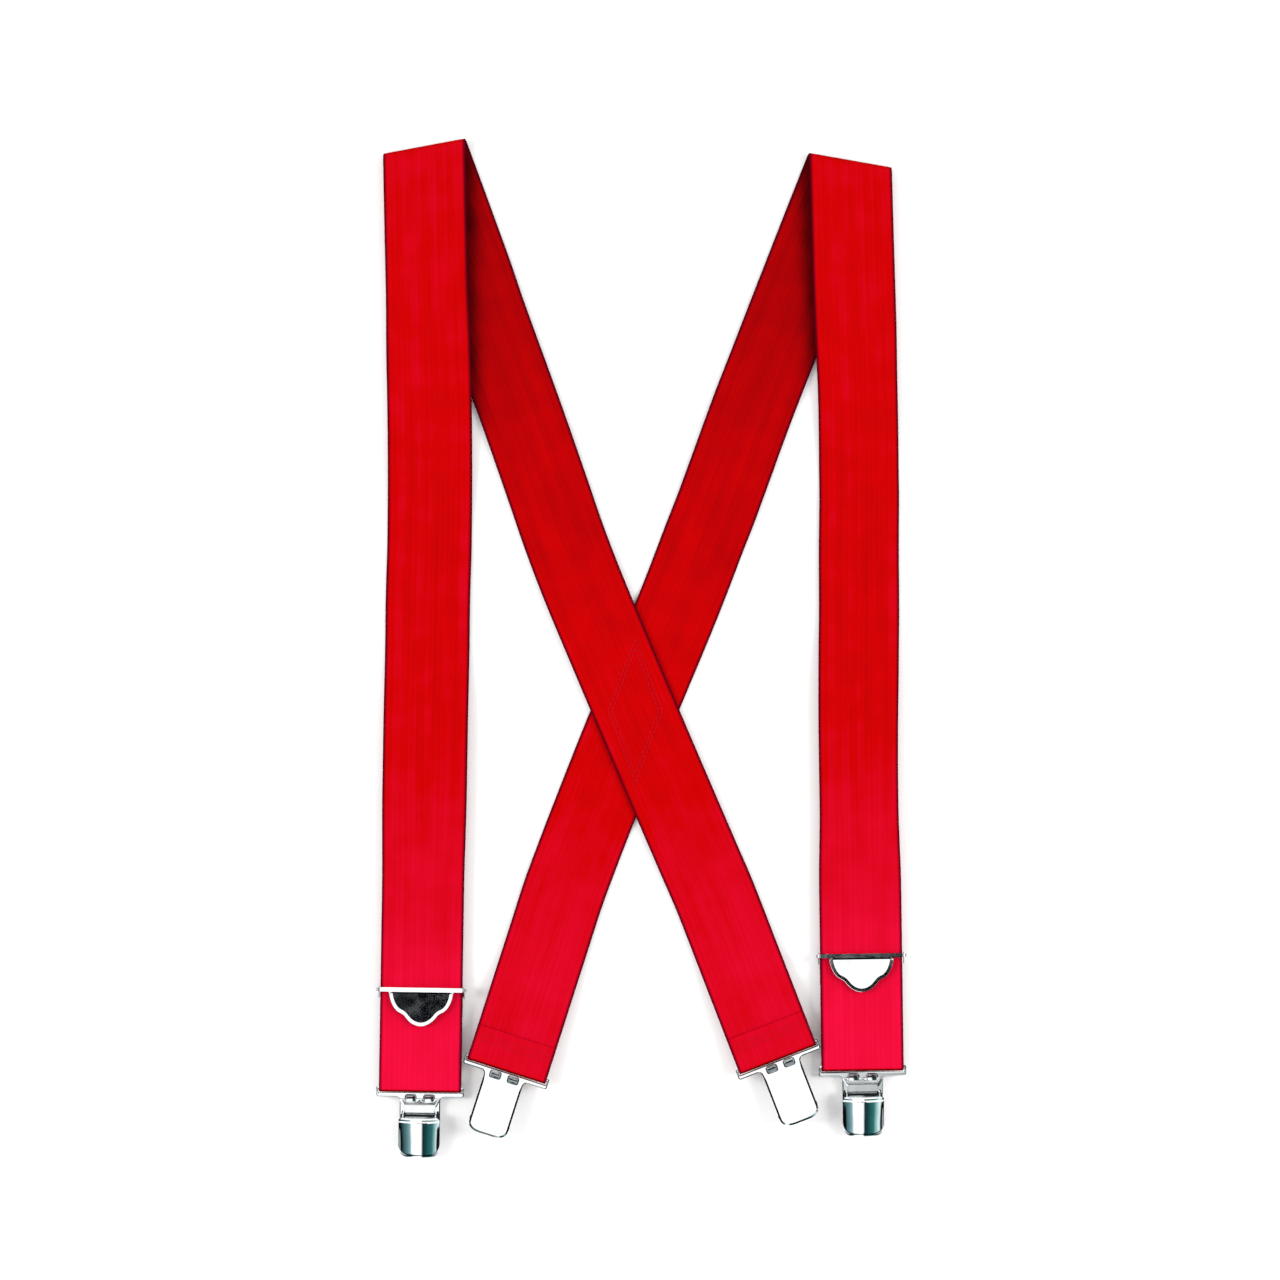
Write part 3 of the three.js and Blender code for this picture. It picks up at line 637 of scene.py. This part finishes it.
clipSizes = {
    "plate": 1.2,
    "coinWidth": 0.65,
    "coinDrop": 0.353,
    "tongueCoin": 1.15,
    "barHalf": 0.8,
    "slotHalf": 25.9,
    "post": 1.1,
    "railTop": -3.0,
    "railBottom": -5.6,
    "windowInner": 2.6,
    "windowOuter": 8.8,
    "windowTop": -4.4,
    "windowBottom": -8.2,
    "tongueHalf": 12.5,
    "tongueTip": -43.0,
    "pinY": -16.5,
    "pinZ": 5.0,
    "pinRadius": 0.9,
    "earInner": 9.6,
    "earThickness": 1.0,
    "earReach": 1.5,
    "leverTip": -41.5,
    "leverCrown": 10.2,
    "leverDrop": 2.8,
    "leverThickness": 0.8,
    "leverSkirt": 0.2,
    "jawThickness": 0.8,
    "hookThickness": 0.6,
    "hookGap": 0.35,
    "hookTipY": -5.3,
    "hookTipZ": -0.45,
}


def clipFrame(clipName):
    # the CAD joints give the strap bar and the hinge pin, which fix the clip's place and tilt
    bar = Vector(joints[f"{clipName}_swivel"]["pos_m"])
    pin = Vector(joints[f"{clipName}_lever_open"]["pos_m"])
    x = -Vector(joints[f"{clipName}_lever_open"]["axis"])
    a, b = clipSizes["pinY"], clipSizes["pinZ"]
    reach = (pin - bar) / mm
    z = (b * reach + a * x.cross(reach)) / (a * a + b * b)
    return localFrame(bar, x, z)


def roundedOutline(x0, x1, y0, y1, radius, steps=5):
    left, right, low, high = x0 + radius, x1 - radius, y0 + radius, y1 - radius
    corners = ((right, low), (right, high), (left, high), (left, low))
    return [point for i, (x, y) in enumerate(corners)
            for point in arc(x, y, radius, 90 * i - 90, 90 * i, steps)]


def clipPlateMesh(matrix, name):
    s = clipSizes
    outer = s["slotHalf"] + s["post"]
    tongue, tip, rail = s["tongueHalf"], s["tongueTip"], s["railBottom"]
    coinStart = -12
    halfOutline = (arc(outer - 0.8, s["barHalf"] - 0.8, 0.8, 90, 0, 4)
                   + arc(outer - 1.2, rail + 1.2, 1.2, 0, -90, 4)
                   + [(tongue + 2.6, rail)] + arc(tongue + 2.6, rail - 2.6, 2.6, 90, 180, 6)
                   + [(tongue, coinStart), (tongue, tip + 6)]
                   + bezier((tongue, tip + 6), (tongue, tip + 1.2), (tongue - 4, tip + 0.1),
                            (tongue - 8, tip), 8))
    outline = halfOutline + [(-x, y) for x, y in reversed(halfOutline)]
    slot = roundedOutline(-s["slotHalf"], s["slotHalf"], s["railTop"], -s["barHalf"], 0.7)
    inner, outer = s["windowInner"], s["windowOuter"]
    windows = [roundedOutline(x0, x0 + outer - inner, s["windowBottom"], s["windowTop"], 0.9)
               for x0 in (-outer, inner)]
    blank = stampedMesh(outline, [slot, *windows], s["plate"], s["coinWidth"], coined=s["coinDrop"])
    # behind, the tongue is coined wider, to half way through the plate
    land = s["plate"] / 2 - s["coinDrop"]
    narrower = (tongue - s["tongueCoin"]) / (tongue - s["coinWidth"])
    for vert in blank.vertices:
        x, y, z = vert.co
        if y > coinStart + 0.1:
            continue
        if z < -land - 0.1:
            vert.co.x = x * narrower
            vert.co.y = y + (s["tongueCoin"] - s["coinWidth"]) * smoothStep(tip + 10, tip, y)
        elif z < 0:
            vert.co.z = s["tongueCoin"] * s["coinDrop"] / s["coinWidth"] - s["plate"] / 2
    meshes = [blank]
    reach = s["earReach"]
    ear = ([(s["pinY"] - reach, 0), (s["pinY"] + reach, 0)]
           + arc(s["pinY"], s["pinZ"], reach, 0, 180, 14))
    middle = s["earInner"] + s["earThickness"] / 2
    for side in (-1, 1):
        meshes.append(moved(stampedMesh(ear, [], s["earThickness"], 0.25, "YZ"), side * middle, 0, 0))
    return joined(name, meshes, matrix)


def clipPinMesh(matrix, name):
    s = clipSizes
    head = s["earInner"] + s["earThickness"] + 0.15
    half = [(head, s["pinRadius"]), (head, 1.4), (head + 0.35, 1.42), (head + 0.7, 1.1), (head + 0.8, 0.5)]
    profile = [(-x, r) for x, r in reversed(half)] + half
    return joined(name, [turnedMesh(profile, s["pinY"], s["pinZ"])], matrix)


def jawHookMesh(x0, x1):
    # one of the two hooks that slope down into the plate's windows and hold the jaw on
    s = clipSizes
    line = [[-9.4, 1.58], [-8.0, 1.45], [s["hookTipY"], s["hookTipZ"]]]

    def slope(x, v):
        part = min(int(v), len(line) - 2)
        (y0, z0), (y1, z1) = line[part], line[part + 1]
        return Vector((x, y0 + (y1 - y0) * (v - part), z0 + (z1 - z0) * (v - part)))
    xs = [x0 + s["hookGap"], (x0 + x1) / 2, x1 - s["hookGap"]]
    return sheetMesh(slope, xs, [0, 1, 1.5, 2], s["hookThickness"], 0.12)


def clipJawMesh(matrix, name):
    s = clipSizes
    heights = [[-41.2, 3.1], [-39.0, 3.9], [-23.6, 3.9], [-18.4, 1.75], [-11, 1.75], [-6.4, 1.35]]
    halfWidths = [[-41.2, 8.6], [-39.2, 10.6], [-22.0, 10.6], [-19.5, 9.2], [-13.5, 9.2], [-6.4, 13.2]]

    def bend(u, y):
        return Vector((u * straight(halfWidths, y), y, straight(heights, y)))

    def straight(stops, y):
        for (y0, v0), (y1, v1) in zip(stops, stops[1:]):
            if y <= y1:
                return v0 + (v1 - v0) * (y - y0) / (y1 - y0)
        return stops[-1][1]

    def isWindow(u, y):
        return 0.2 < abs(u) < 0.68 and y > s["windowBottom"]
    us = [-1, -0.84, -0.68, -0.44, -0.2, 0, 0.2, 0.44, 0.68, 0.84, 1]
    ys = spaced([[-41.2, -39.0, 0.6], [-39.0, -24.5, 2.5], [-24.5, -17.5, 0.7], [-17.5, -8.2, 0.93],
                 [-8.2, -6.4, 0.9]])
    meshes = [sheetMesh(bend, us, ys, s["jawThickness"], 0.22, isWindow)]
    for x0 in (-s["windowOuter"], s["windowInner"]):
        meshes.append(jawHookMesh(x0, x0 + s["windowOuter"] - s["windowInner"]))
    return joined(name, meshes, matrix)


def clipGripMesh(matrix, name, low, high, ribsUp):
    # a ribbed pad: the side outline carries the grooves, and runs the pad's full width
    base, face = (low, high) if ribsUp else (high, low)
    groove = 0.35 if ribsUp else -0.35
    points = [(-39.2, base), (-39.2, face)]
    for i in range(5):
        y = -37.6 + i * 2.6
        points += [(y, face), (y + 0.2, face - groove), (y + 0.7, face - groove), (y + 0.9, face)]
    points += [(-25.6, face), (-25.6, base)]
    return joined(name, [stampedMesh(points, [], 18.8, 0.08, "YZ")], matrix)


def clipLeverMesh(matrix, name):
    s = clipSizes
    top = s["pinY"] - 0.8
    crown = s["leverCrown"] - s["leverThickness"] / 2

    def arch(u, v):
        x = u * s["tongueHalf"]
        corner = max(0.0, (abs(u) - 0.5) / 0.5)
        bottom = s["leverTip"] + 5.5 * (1 - math.sqrt(max(0.0, 1 - corner ** 2.6)))
        shoulder = top - 0.9 * smoothStep(0.86, 1.0, abs(u))
        y = shoulder + (bottom - shoulder) * v
        away = top - y
        drop = s["leverDrop"] * u * u
        skirt = s["leverSkirt"] * smoothStep(0.84, 1.0, abs(u)) * smoothStep(4, 8, away)
        tip = 1.1 * smoothStep(8, 26, away)
        neck = 0.7 * (1 - smoothStep(0, 3, away))
        lip = 0.45 * smoothStep(0.90, 1.0, v)
        return Vector((x, y, crown - drop - skirt - tip - neck - lip))
    us = [math.sin(math.pi / 2 * i / 16) for i in range(-16, 17)]
    vs = spaced([[0, 0.15, 0.025], [0.15, 0.85, 0.05], [0.85, 1, 0.015]])
    cover = sheetMesh(arch, us, vs, s["leverThickness"], 0.25)
    curl = arc(s["pinY"], s["pinZ"], 1.5, 100, 290, 14) + arc(s["pinY"], s["pinZ"], 1.02, 290, 100, 14)
    barrel = stampedMesh(curl, [], 17.6, 0.12, "YZ")
    neckWeb = barMesh(-8.8, 8.8, s["pinY"] - 1.5, s["pinY"] - 1.02, s["pinZ"] - 0.4, 8.5, 0.1)
    nose = turnedMesh([(-6, 0.5), (-5.8, 0.7), (5.8, 0.7), (6, 0.5)], s["pinY"] - 2.9, s["pinZ"] - 1.4, 16)
    arm = [(s["pinY"] - 1.2, s["pinZ"] + 0.9), (s["pinY"] - 0.6, s["pinZ"] - 1.2),
           (s["pinY"] - 3.0, s["pinZ"] - 2.0), (s["pinY"] - 3.4, s["pinZ"] - 0.9)]
    cam = stampedMesh(arm, [], 11.8, 0.15, "YZ")
    return joined(name, [cover, barrel, neckWeb, nose, cam], matrix)


def buildClip(clipName):
    showParts(clipName, clipFrame(clipName), (
        ("plate_stamping", "plate", clipPlateMesh, (), chrome, "nickel_chrome_plate", ""),
        ("hinge_pin", "pin", clipPinMesh, (), darkSteel, "spring_steel", ""),
        ("ribbed_tongue_grip", "tongue_grip", clipGripMesh, (0.68, 1.95, True),
         gripPlastic, "grip_plastic", ""),
        ("sprung_jaw", "jaw", clipJawMesh, (), brightSteel, "spring_steel", "_jaw"),
        ("ribbed_jaw_grip", "jaw_grip", clipGripMesh, (2.25, 3.45, False),
         gripPlastic, "grip_plastic", "_jaw"),
        ("arched_lever", "lever", clipLeverMesh, (), chrome, "nickel_chrome_plate", "_lever")))


# --- slide adjusters

adjusterSizes = {
    "inner": 25.9,
    "wall": 1.1,
    "rearBarZ": -3.45,
    "rearBar": 1.2,
    "rearTop": -2.5,
    "rearBottom": -6.0,
    "pinY": -1.5,
    "pinZ": 2.4,
    "pinRadius": 0.8,
    "wallTop": 3.9,
    "barrelRadius": 1.3,
    "barrelHalf": 25.5,
    "leverHalf": 20.0,
    "leverDepth": 22.5,
    "leverBottom": 2.5,
    "teeth": 15,
    "toothPitch": 2.3,
}


def adjusterFrameMatrix(side):
    hinge = joints[f"{side}_adjuster_lever_flip"]
    x = -Vector(hinge["axis"])
    local = localFrame(Vector(hinge["pos_m"]), x, (0, 0, 1))
    return local @ Matrix.Translation((0, -adjusterSizes["pinY"] * mm, -adjusterSizes["pinZ"] * mm))


def adjusterFrameMesh(matrix, name):
    s = adjusterSizes
    outer = s["inner"] + s["wall"]
    low = s["rearBarZ"] - s["rearBar"] / 2
    top, pinY = s["wallTop"], s["pinY"]
    wall = [(s["rearBottom"] - 1, low), (s["rearTop"], low), (0.5, -0.8), (0.5, 2.8), (pinY + 1, top),
            (pinY - 1, top), (pinY - 2, 2.8), (s["rearBottom"] - 1, -1.4)]
    meshes = [barMesh(-outer, outer, s["rearBottom"], s["rearTop"], low, low + s["rearBar"], 0.25)]
    middle = s["inner"] + s["wall"] / 2
    for side in (-1, 1):
        meshes.append(moved(stampedMesh(wall, [], s["wall"], 0.3, "YZ"), side * middle, 0, 0))
    return joined(name, meshes, matrix)


def adjusterPinMesh(matrix, name):
    s = adjusterSizes
    head = s["inner"] + s["wall"] + 0.15
    half = [(head, s["pinRadius"]), (head, 1.25), (head + 0.35, 1.25), (head + 0.7, 0.8)]
    profile = [(-x, r) for x, r in reversed(half)] + half
    return joined(name, [turnedMesh(profile, s["pinY"], s["pinZ"], 20)], matrix)


def insetOutline(points, inset):
    # moves a closed outline inwards; the outline runs clockwise
    inner = []
    for i, (x, y) in enumerate(points):
        before, after = points[i - 1], points[(i + 1) % len(points)]
        along = Vector((after[0] - before[0], after[1] - before[1])).normalized()
        inner.append((x + along.y * inset, y - along.x * inset))
    return inner


def pressedMesh(outline, rings):
    # rings of (inset, height) from the underside, round the edge and up to the flat middle
    return ringsMesh([[(x, y, height) for x, y in insetOutline(outline, inset)] for inset, height in rings])


def adjusterLeverMesh(matrix, name):
    s = adjusterSizes
    half, depth, low = s["leverHalf"], s["leverDepth"], s["leverBottom"]
    shoulder, waist = (half - 6.8, -14.2), (half - 10.2, -16.8)
    rightSide = ([(half, 0)]
                 + bezier((half, 0), (half, -6.5), (half - 3, -12.6), shoulder, 12)
                 + bezier(shoulder, (half - 8.1, -14.7), (half - 9.3, -15.6), waist, 5)
                 + bezier(waist, (7.4, -20.2), (3.8, -depth), (0, -depth), 10))
    outline = rightSide + [(-x, y) for x, y in reversed(rightSide[:-1])]
    # a flat middle inside a wide rim that leans out by two and a half degrees
    lean = math.tan(math.radians(2.5))
    rimFrom, rimTo, rimLow, step = 0.3, 2.2, low + 0.95, 0.06
    rings = [(0.3, low), (0.05, low + 0.1), (0, low + 0.35), (0, low + 0.75), (0.1, low + 0.9)]
    rings += [(inset, rimLow + (inset - rimFrom) * lean)
              for inset in (rimFrom, rimFrom + step, rimTo, rimTo + step)]
    rings.append((rimTo + 2 * step, rimLow + (rimTo + step - rimFrom) * lean))
    cover = moved(pressedMesh(outline, rings), 0, s["pinY"], 0)
    # the hinge bar is rolled round underneath and pressed flat on top, leaning out like the rim
    radius = s["barrelRadius"]
    rolled = arc(s["pinY"], s["pinZ"], radius, -20, -160, 12) + [
        (s["pinY"] - radius, s["pinZ"] + 1.10), (s["pinY"] + radius, s["pinZ"] + 0.987)]
    barrel = stampedMesh(rolled, [], 2 * s["barrelHalf"], 0.12, "YZ")
    meshes = [cover, barrel]
    tooth = [(s["pinY"] - 1.0, low + 0.2), (s["pinY"] - 2.3, 1.1), (s["pinY"] - 3.4, low + 0.2)]
    for i in range(s["teeth"]):
        x = (i - (s["teeth"] - 1) / 2) * s["toothPitch"]
        meshes.append(moved(stampedMesh(tooth, [], 1.4, 0.1, "YZ"), x, 0, 0))
    return joined(name, meshes, matrix)


def returnLine(reach):
    # the web behind: up from the clip, round the adjuster's rear bar, and back down as a tail
    s = adjusterSizes
    radius = s["rearBar"] / 2 + 0.3 + halfWeb
    upper, lower = s["rearBarZ"] + radius, s["rearBarZ"] - radius
    clipEnd = -reach + web["bightLength"]
    barY = s["rearTop"]
    rise = [[-34, -2 * web["wrapRadius"]], [-11, upper]]
    turnLength = math.pi * radius

    def place(row, across):
        y = clipEnd + row
        if y < barY:
            return Vector((across, y, between(rise, y)))
        past = y - barY
        if past < turnLength:
            turn = past / radius
            return Vector((across, barY + radius * math.sin(turn), s["rearBarZ"] + radius * math.cos(turn)))
        return Vector((across, barY - (past - turnLength), lower))
    turnStart = barY - clipEnd
    turnEnd = turnStart + turnLength
    total = turnEnd + web["hemLength"] + barY
    rows = spaced([[0, turnStart, 1.5], [turnStart, turnEnd, 0.4], [turnEnd, total, 2.5]])
    return place, rows, total


def buildAdjuster(side):
    matrix = adjusterFrameMatrix(side)
    showParts(f"{side}_adjuster", matrix, (
        ("bent_frame", "frame", adjusterFrameMesh, (), chrome, "nickel_chrome_plate", ""),
        ("hinge_pin", "pin", adjusterPinMesh, (), satinSteel, "spring_steel", ""),
        ("half_moon", "lever", adjusterLeverMesh, (), chrome, "nickel_chrome_plate", "_lever")))
    return matrix


# --- the straps

def buildStrap(side, adjusterMatrix):
    run = strapRuns[side]
    place = strapSurface(side)
    barTurn = math.pi * web["wrapRadius"]
    frontLength, backLength = run["frontLength"], run["backLength"]
    inward = run["inward"]
    frontEdge = [place(-row, inward * web["width"] / 2) for row in range(0, run["lapLength"] + 80, 8)]

    def turnShade(distance, length):
        # painted shade: the web is darkened only where it turns round a clip's strap bar
        past = distance - length
        return 1 - 0.92 * smoothStep(0.4, 1.4, past) * smoothStep(0.4, 1.4, barTurn - past)

    def toneAt(row, across):
        tone = between(run["frontTone"], -row) * turnShade(-row, frontLength)
        if row < -4:
            return tone
        # painted shadow: the back run is darkened beside the raised edge of the front run
        backTone = between(run["backTone"], row) * turnShade(row, backLength)
        point = place(row, across)
        if point.y > frontEdge[-1].y and row < run["lapLength"] + 60:
            nearest = min(frontEdge, key=lambda edge: abs(edge.y - point.y))
            gap = max((point.x - nearest.x) * inward, 0)
            backTone *= 1 - 0.85 * math.exp(-(gap / 7.5) ** 2)
        return tone + (backTone - tone) * smoothStep(-4, 4, row)
    seam = 8  # mm past the shoulder edge, hidden under the front run
    frontTurned, backTurned = frontLength + barTurn, backLength + barTurn
    bightRow, hemRow = frontTurned + web["bightLength"], backTurned + web["hemLength"]
    frontRows = spaced([[-bightRow, -frontTurned, 2], [-frontTurned, -frontLength, 0.4],
                        [-frontLength, -90, 2.5],
                        [-90, -6, 2], [-6, 6, 0.35], [6, seam, 1]])
    frontMesh = webMesh(f"{side}_front_web", frontRows, place, toneAt, 700)
    front = showPiece(f"{side}_front_web", frontMesh, redWeb, "elastic_webbing", None,
                      [f"{side}_strap", f"{side}_front_bight"])
    backRows = spaced([[seam, 90, 2], [90, backLength, 2.5], [backLength, backTurned, 0.4],
                       [backTurned, backTurned + 10, 1], [backTurned + 10, hemRow, 2]])
    backMesh = webMesh(f"{side}_back_web", backRows, place, toneAt, 700)
    back = showPiece(f"{side}_back_web", backMesh, redWeb, "elastic_webbing", "webbing", [f"{side}_strap"])

    reach = frontLength - run["adjusterDistance"]
    line, lineRows, returnLength = returnLine(reach)
    toRow = Matrix.Scale(1 / mm, 4) @ adjusterMatrix @ Matrix.Scale(mm, 4)
    returnMesh = webMesh(f"{side}_return_web_run", lineRows, lambda row, across: toRow @ line(row, across),
                         lambda row, across: 0.8, 100)
    returned = showPiece(f"{side}_return_web_run", returnMesh, redWeb, "elastic_webbing", None,
                         [f"{side}_return_web"])

    place(-90, 0) * mm
    place(-(frontLength - 12), 0) * mm
    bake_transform(front)
    loopEnd, adjusterEnd = (adjusterMatrix @ (Vector((0, y, 0)) * mm)
                            for y in (-reach + web["bightLength"] + 0.5, -6))
    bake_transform(returned)
    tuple(loopEnd)
    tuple(adjusterEnd)

    half = web["width"] / 2 - 3
    paths = []
    for setBack in (5.0, 8.5):
        ends = [place(hemRow - setBack, across) for across in (-half, half)]
        paths.append([end + Vector((0, 0, halfWeb + 0.02)) for end in ends])
    stitches = stitchMesh(f"{side}_back_hem_stitches", paths)
    showPiece(f"{side}_back_hem_stitches", stitches, thread, "sewing_thread", "webbing",
              [f"{side}_back_hem_thread"])


def buildCrossSeam():
    low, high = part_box("cross_seam_thread")
    middle = (low + high) / 2 / mm
    length, width = (high.y - low.y) / 2 / mm, (high.x - low.x) / 2 / mm
    height = overlapHeight + halfWeb + 0.02
    paths = []
    for size in (1.0, 0.86):
        corners = [Vector((middle.x + x * width * size, middle.y + y * length * size, height))
                   for x, y in ((0, 1), (1, 0), (0, -1), (-1, 0), (0, 1))]
        paths.append(corners)
    stitches = stitchMesh("cross_seam_stitches", paths)
    showPiece("cross_seam_stitches", stitches, thread, "sewing_thread", "webbing", ["cross_seam_thread"])


redWeb = elasticWebbing()
chrome = steel("buffedNickelChromePlate", "#eef1f2", "#cdd1d4", 0.05, 0.05)
brightSteel = steel("brightPlatedSpringSteel", "#e6e9ea", "#c8cccf", 0.08, 0.08)
satinSteel = steel("tumbledPlatedSteel", "#c9cccf", "#aeb2b5", 0.22, 0.15)
darkSteel = steel("oilBlackenedSpringSteel", "#26292d", "#3c4044", 0.3, 0.15)
gripPlastic = mouldedGrip()
thread = sewingThread()
print("materials made")

for side in ("left", "right"):
    buildStrap(side, buildAdjuster(side))
    print(side, "strap and adjuster made")
    for end in ("front", "back"):
        buildClip(f"{side}_{end}_clip")
    print(side, "clips made")
buildCrossSeam()
print("cross seam sewn")


# --- floor, light and camera

squareCorners = [(-1, -1), (1, -1), (1, 1), (-1, 1)]


def buildFloor():
    # smooth white card, brighter than paper so that it reads as a plain sweep
    material, tree = newMaterial("whiteStudioCard")
    grain = noiseNode(tree, addNode(tree, "ShaderNodeTexCoord").outputs["Object"], 60.0, 2.0)
    finishMaterial(tree, {"Roughness": 0.9, "Specular IOR Level": 0.1,
                   "Base Color": mixNode(tree, grain, "#f8f8f7", "#fbfbfb")})
    mesh = bpy.data.meshes.new("studio_floor")
    half, drop = 6, -0.0004
    mesh.from_pydata([(x * half, y * half, drop) for x, y in squareCorners], [], [(0, 1, 2, 3)])
    mesh.materials.append(material)
    placed("studio_floor", mesh)


def buildFlag(name, pin, camera, outer, hole=None):
    # a black flag hung just over the camera, where a half-moon lever mirrors it; with a hole,
    # only the lever's leaning rim mirrors the black
    material, tree = newMaterial("blackFlagCloth")
    finishMaterial(tree, {"Base Color": "#05070c", "Roughness": 0.9, "Specular IOR Level": 0.0})
    height = 2.3
    seen = Vector(pin) - Vector((0, 10 * mm, 0))
    reach = (height - seen.z) / (camera.location.z - seen.z)
    middle = seen + (seen - camera.location) * reach
    verts = [(x * outer, y * outer, 0) for x, y in squareCorners]
    faces = [(0, 1, 2, 3)]
    if hole:
        verts += [(x * hole, y * hole, 0) for x, y in squareCorners]
        faces = [(i, (i + 1) % 4, (i + 1) % 4 + 4, i + 4) for i in range(4)]
    mesh = bpy.data.meshes.new(name)
    mesh.from_pydata(verts, [], faces)
    mesh.materials.append(material)
    flag = placed(name, mesh)
    flag.location = (middle.x, middle.y, height)
    flag.visible_diffuse = False
    flag.visible_shadow = False


def rampNode(tree, socket, low, high, stops):
    # stops are (value, colour) between low and high
    ramp = addNode(tree, "ShaderNodeValToRGB", {0: rangeNode(tree, socket, low, high)})
    elements = ramp.color_ramp.elements
    while len(elements) < len(stops):
        elements.new(0.5)
    for element, (value, colour) in zip(elements, stops):
        element.position = (value - low) / (high - low)
        element.color = linearColour(colour)
    return ramp.outputs["Color"]


def buildWorld():
    # an even white studio; whatever mirrors also sees strip lights, and a dark room round them
    world = bpy.data.worlds.new("softStudio")
    world.use_nodes = True
    tree = world.node_tree
    tree.nodes.clear()
    place = addNode(tree, "ShaderNodeTexCoord")
    axes = addNode(tree, "ShaderNodeSeparateXYZ", {0: place.outputs["Generated"]}).outputs
    angles = [mathNode(tree, "DEGREES", mathNode(tree, "ARCTAN2", axes[axis], axes["Z"]))
              for axis in ("X", "Y")]
    strips = rampNode(tree, angles[0], -90, 90, [
        (-58, "#0b1517"), (-46, "#1d3336"), (-34, "#54797f"), (-26, "#7fa3a8"), (-22, "#ffffff"),
        (2, "#ffffff"), (6, "#0c2326"), (14, "#12393c"), (30, "#2c6a68"), (38, "#9fc4c4"),
        (44, "#dcebea"), (50, "#10191a")])
    overhead = rampNode(tree, angles[1], -90, 90, [
        (-10, "#000000"), (-8.5, "#ffffff"), (15, "#ffffff"), (18, "#000000")])
    ceiling = mixNode(tree, overhead, strips, "#ffffff")
    darkBand = rampNode(tree, axes["Z"], 0, 1, [(0.0, "#12181b"), (0.60, "#12181b"), (0.66, "#ffffff")])
    upper = mixNode(tree, 1.0, ceiling, darkBand, "MULTIPLY")
    # below the band the room is a plain light grey, so that flat metal stays light from the side
    walls = rampNode(tree, axes["Z"], 0, 1, [(0.0, "#c3c8ca"), (0.25, "#aab1b4"), (0.46, "#868f93")])
    mirrored = mixNode(tree, rangeNode(tree, axes["Z"], 0.45, 0.49), walls, upper)
    glossy = addNode(tree, "ShaderNodeLightPath").outputs["Is Glossy Ray"]
    sky = mixNode(tree, glossy, "#ffffff", mirrored)
    strength = mathNode(tree, "MULTIPLY_ADD", glossy, 0.5, 0.8)
    light = addNode(tree, "ShaderNodeBackground", {"Color": sky, "Strength": strength})
    addNode(tree, "ShaderNodeOutputWorld", {"Surface": light.outputs[0]})
    bpy.context.scene.world = world


def buildLights():
    # copy-stand lighting: a soft box on each side, so each raised edge shades both ways
    for side, x in (("left", -1.9), ("right", 1.9)):
        data = bpy.data.lights.new(f"{side}SoftBox", "AREA")
        data.shape = "RECTANGLE"
        data.size, data.size_y = 0.8, 1.2
        data.energy = 34
        box = placed(f"{side}SoftBox", data)
        box.location = (x, 0.1, 1.3)
        box.rotation_euler = (-box.location).to_track_quat("-Z", "Y").to_euler()
        box.visible_glossy = False


def buildCamera():
    data = bpy.data.cameras.new("overheadCamera")
    data.lens = 100
    data.sensor_width = 36
    camera = placed("overheadCamera", data)
    frameWidth = 0.793  # metres of table across the picture
    camera.location = (-0.0008, 0.0048, frameWidth * data.lens / data.sensor_width)
    data.clip_end = 60
    bpy.context.scene.camera = camera
    return camera


buildFloor()
buildWorld()
buildLights()
camera = buildCamera()
buildFlag("left_flag", joints["left_adjuster_lever_flip"]["pos_m"], camera, 0.13)
buildFlag("right_flag", joints["right_adjuster_lever_flip"]["pos_m"], camera, 0.26, 0.11)
bpy.context.scene.view_settings.view_transform = "Standard"
print("studio set")
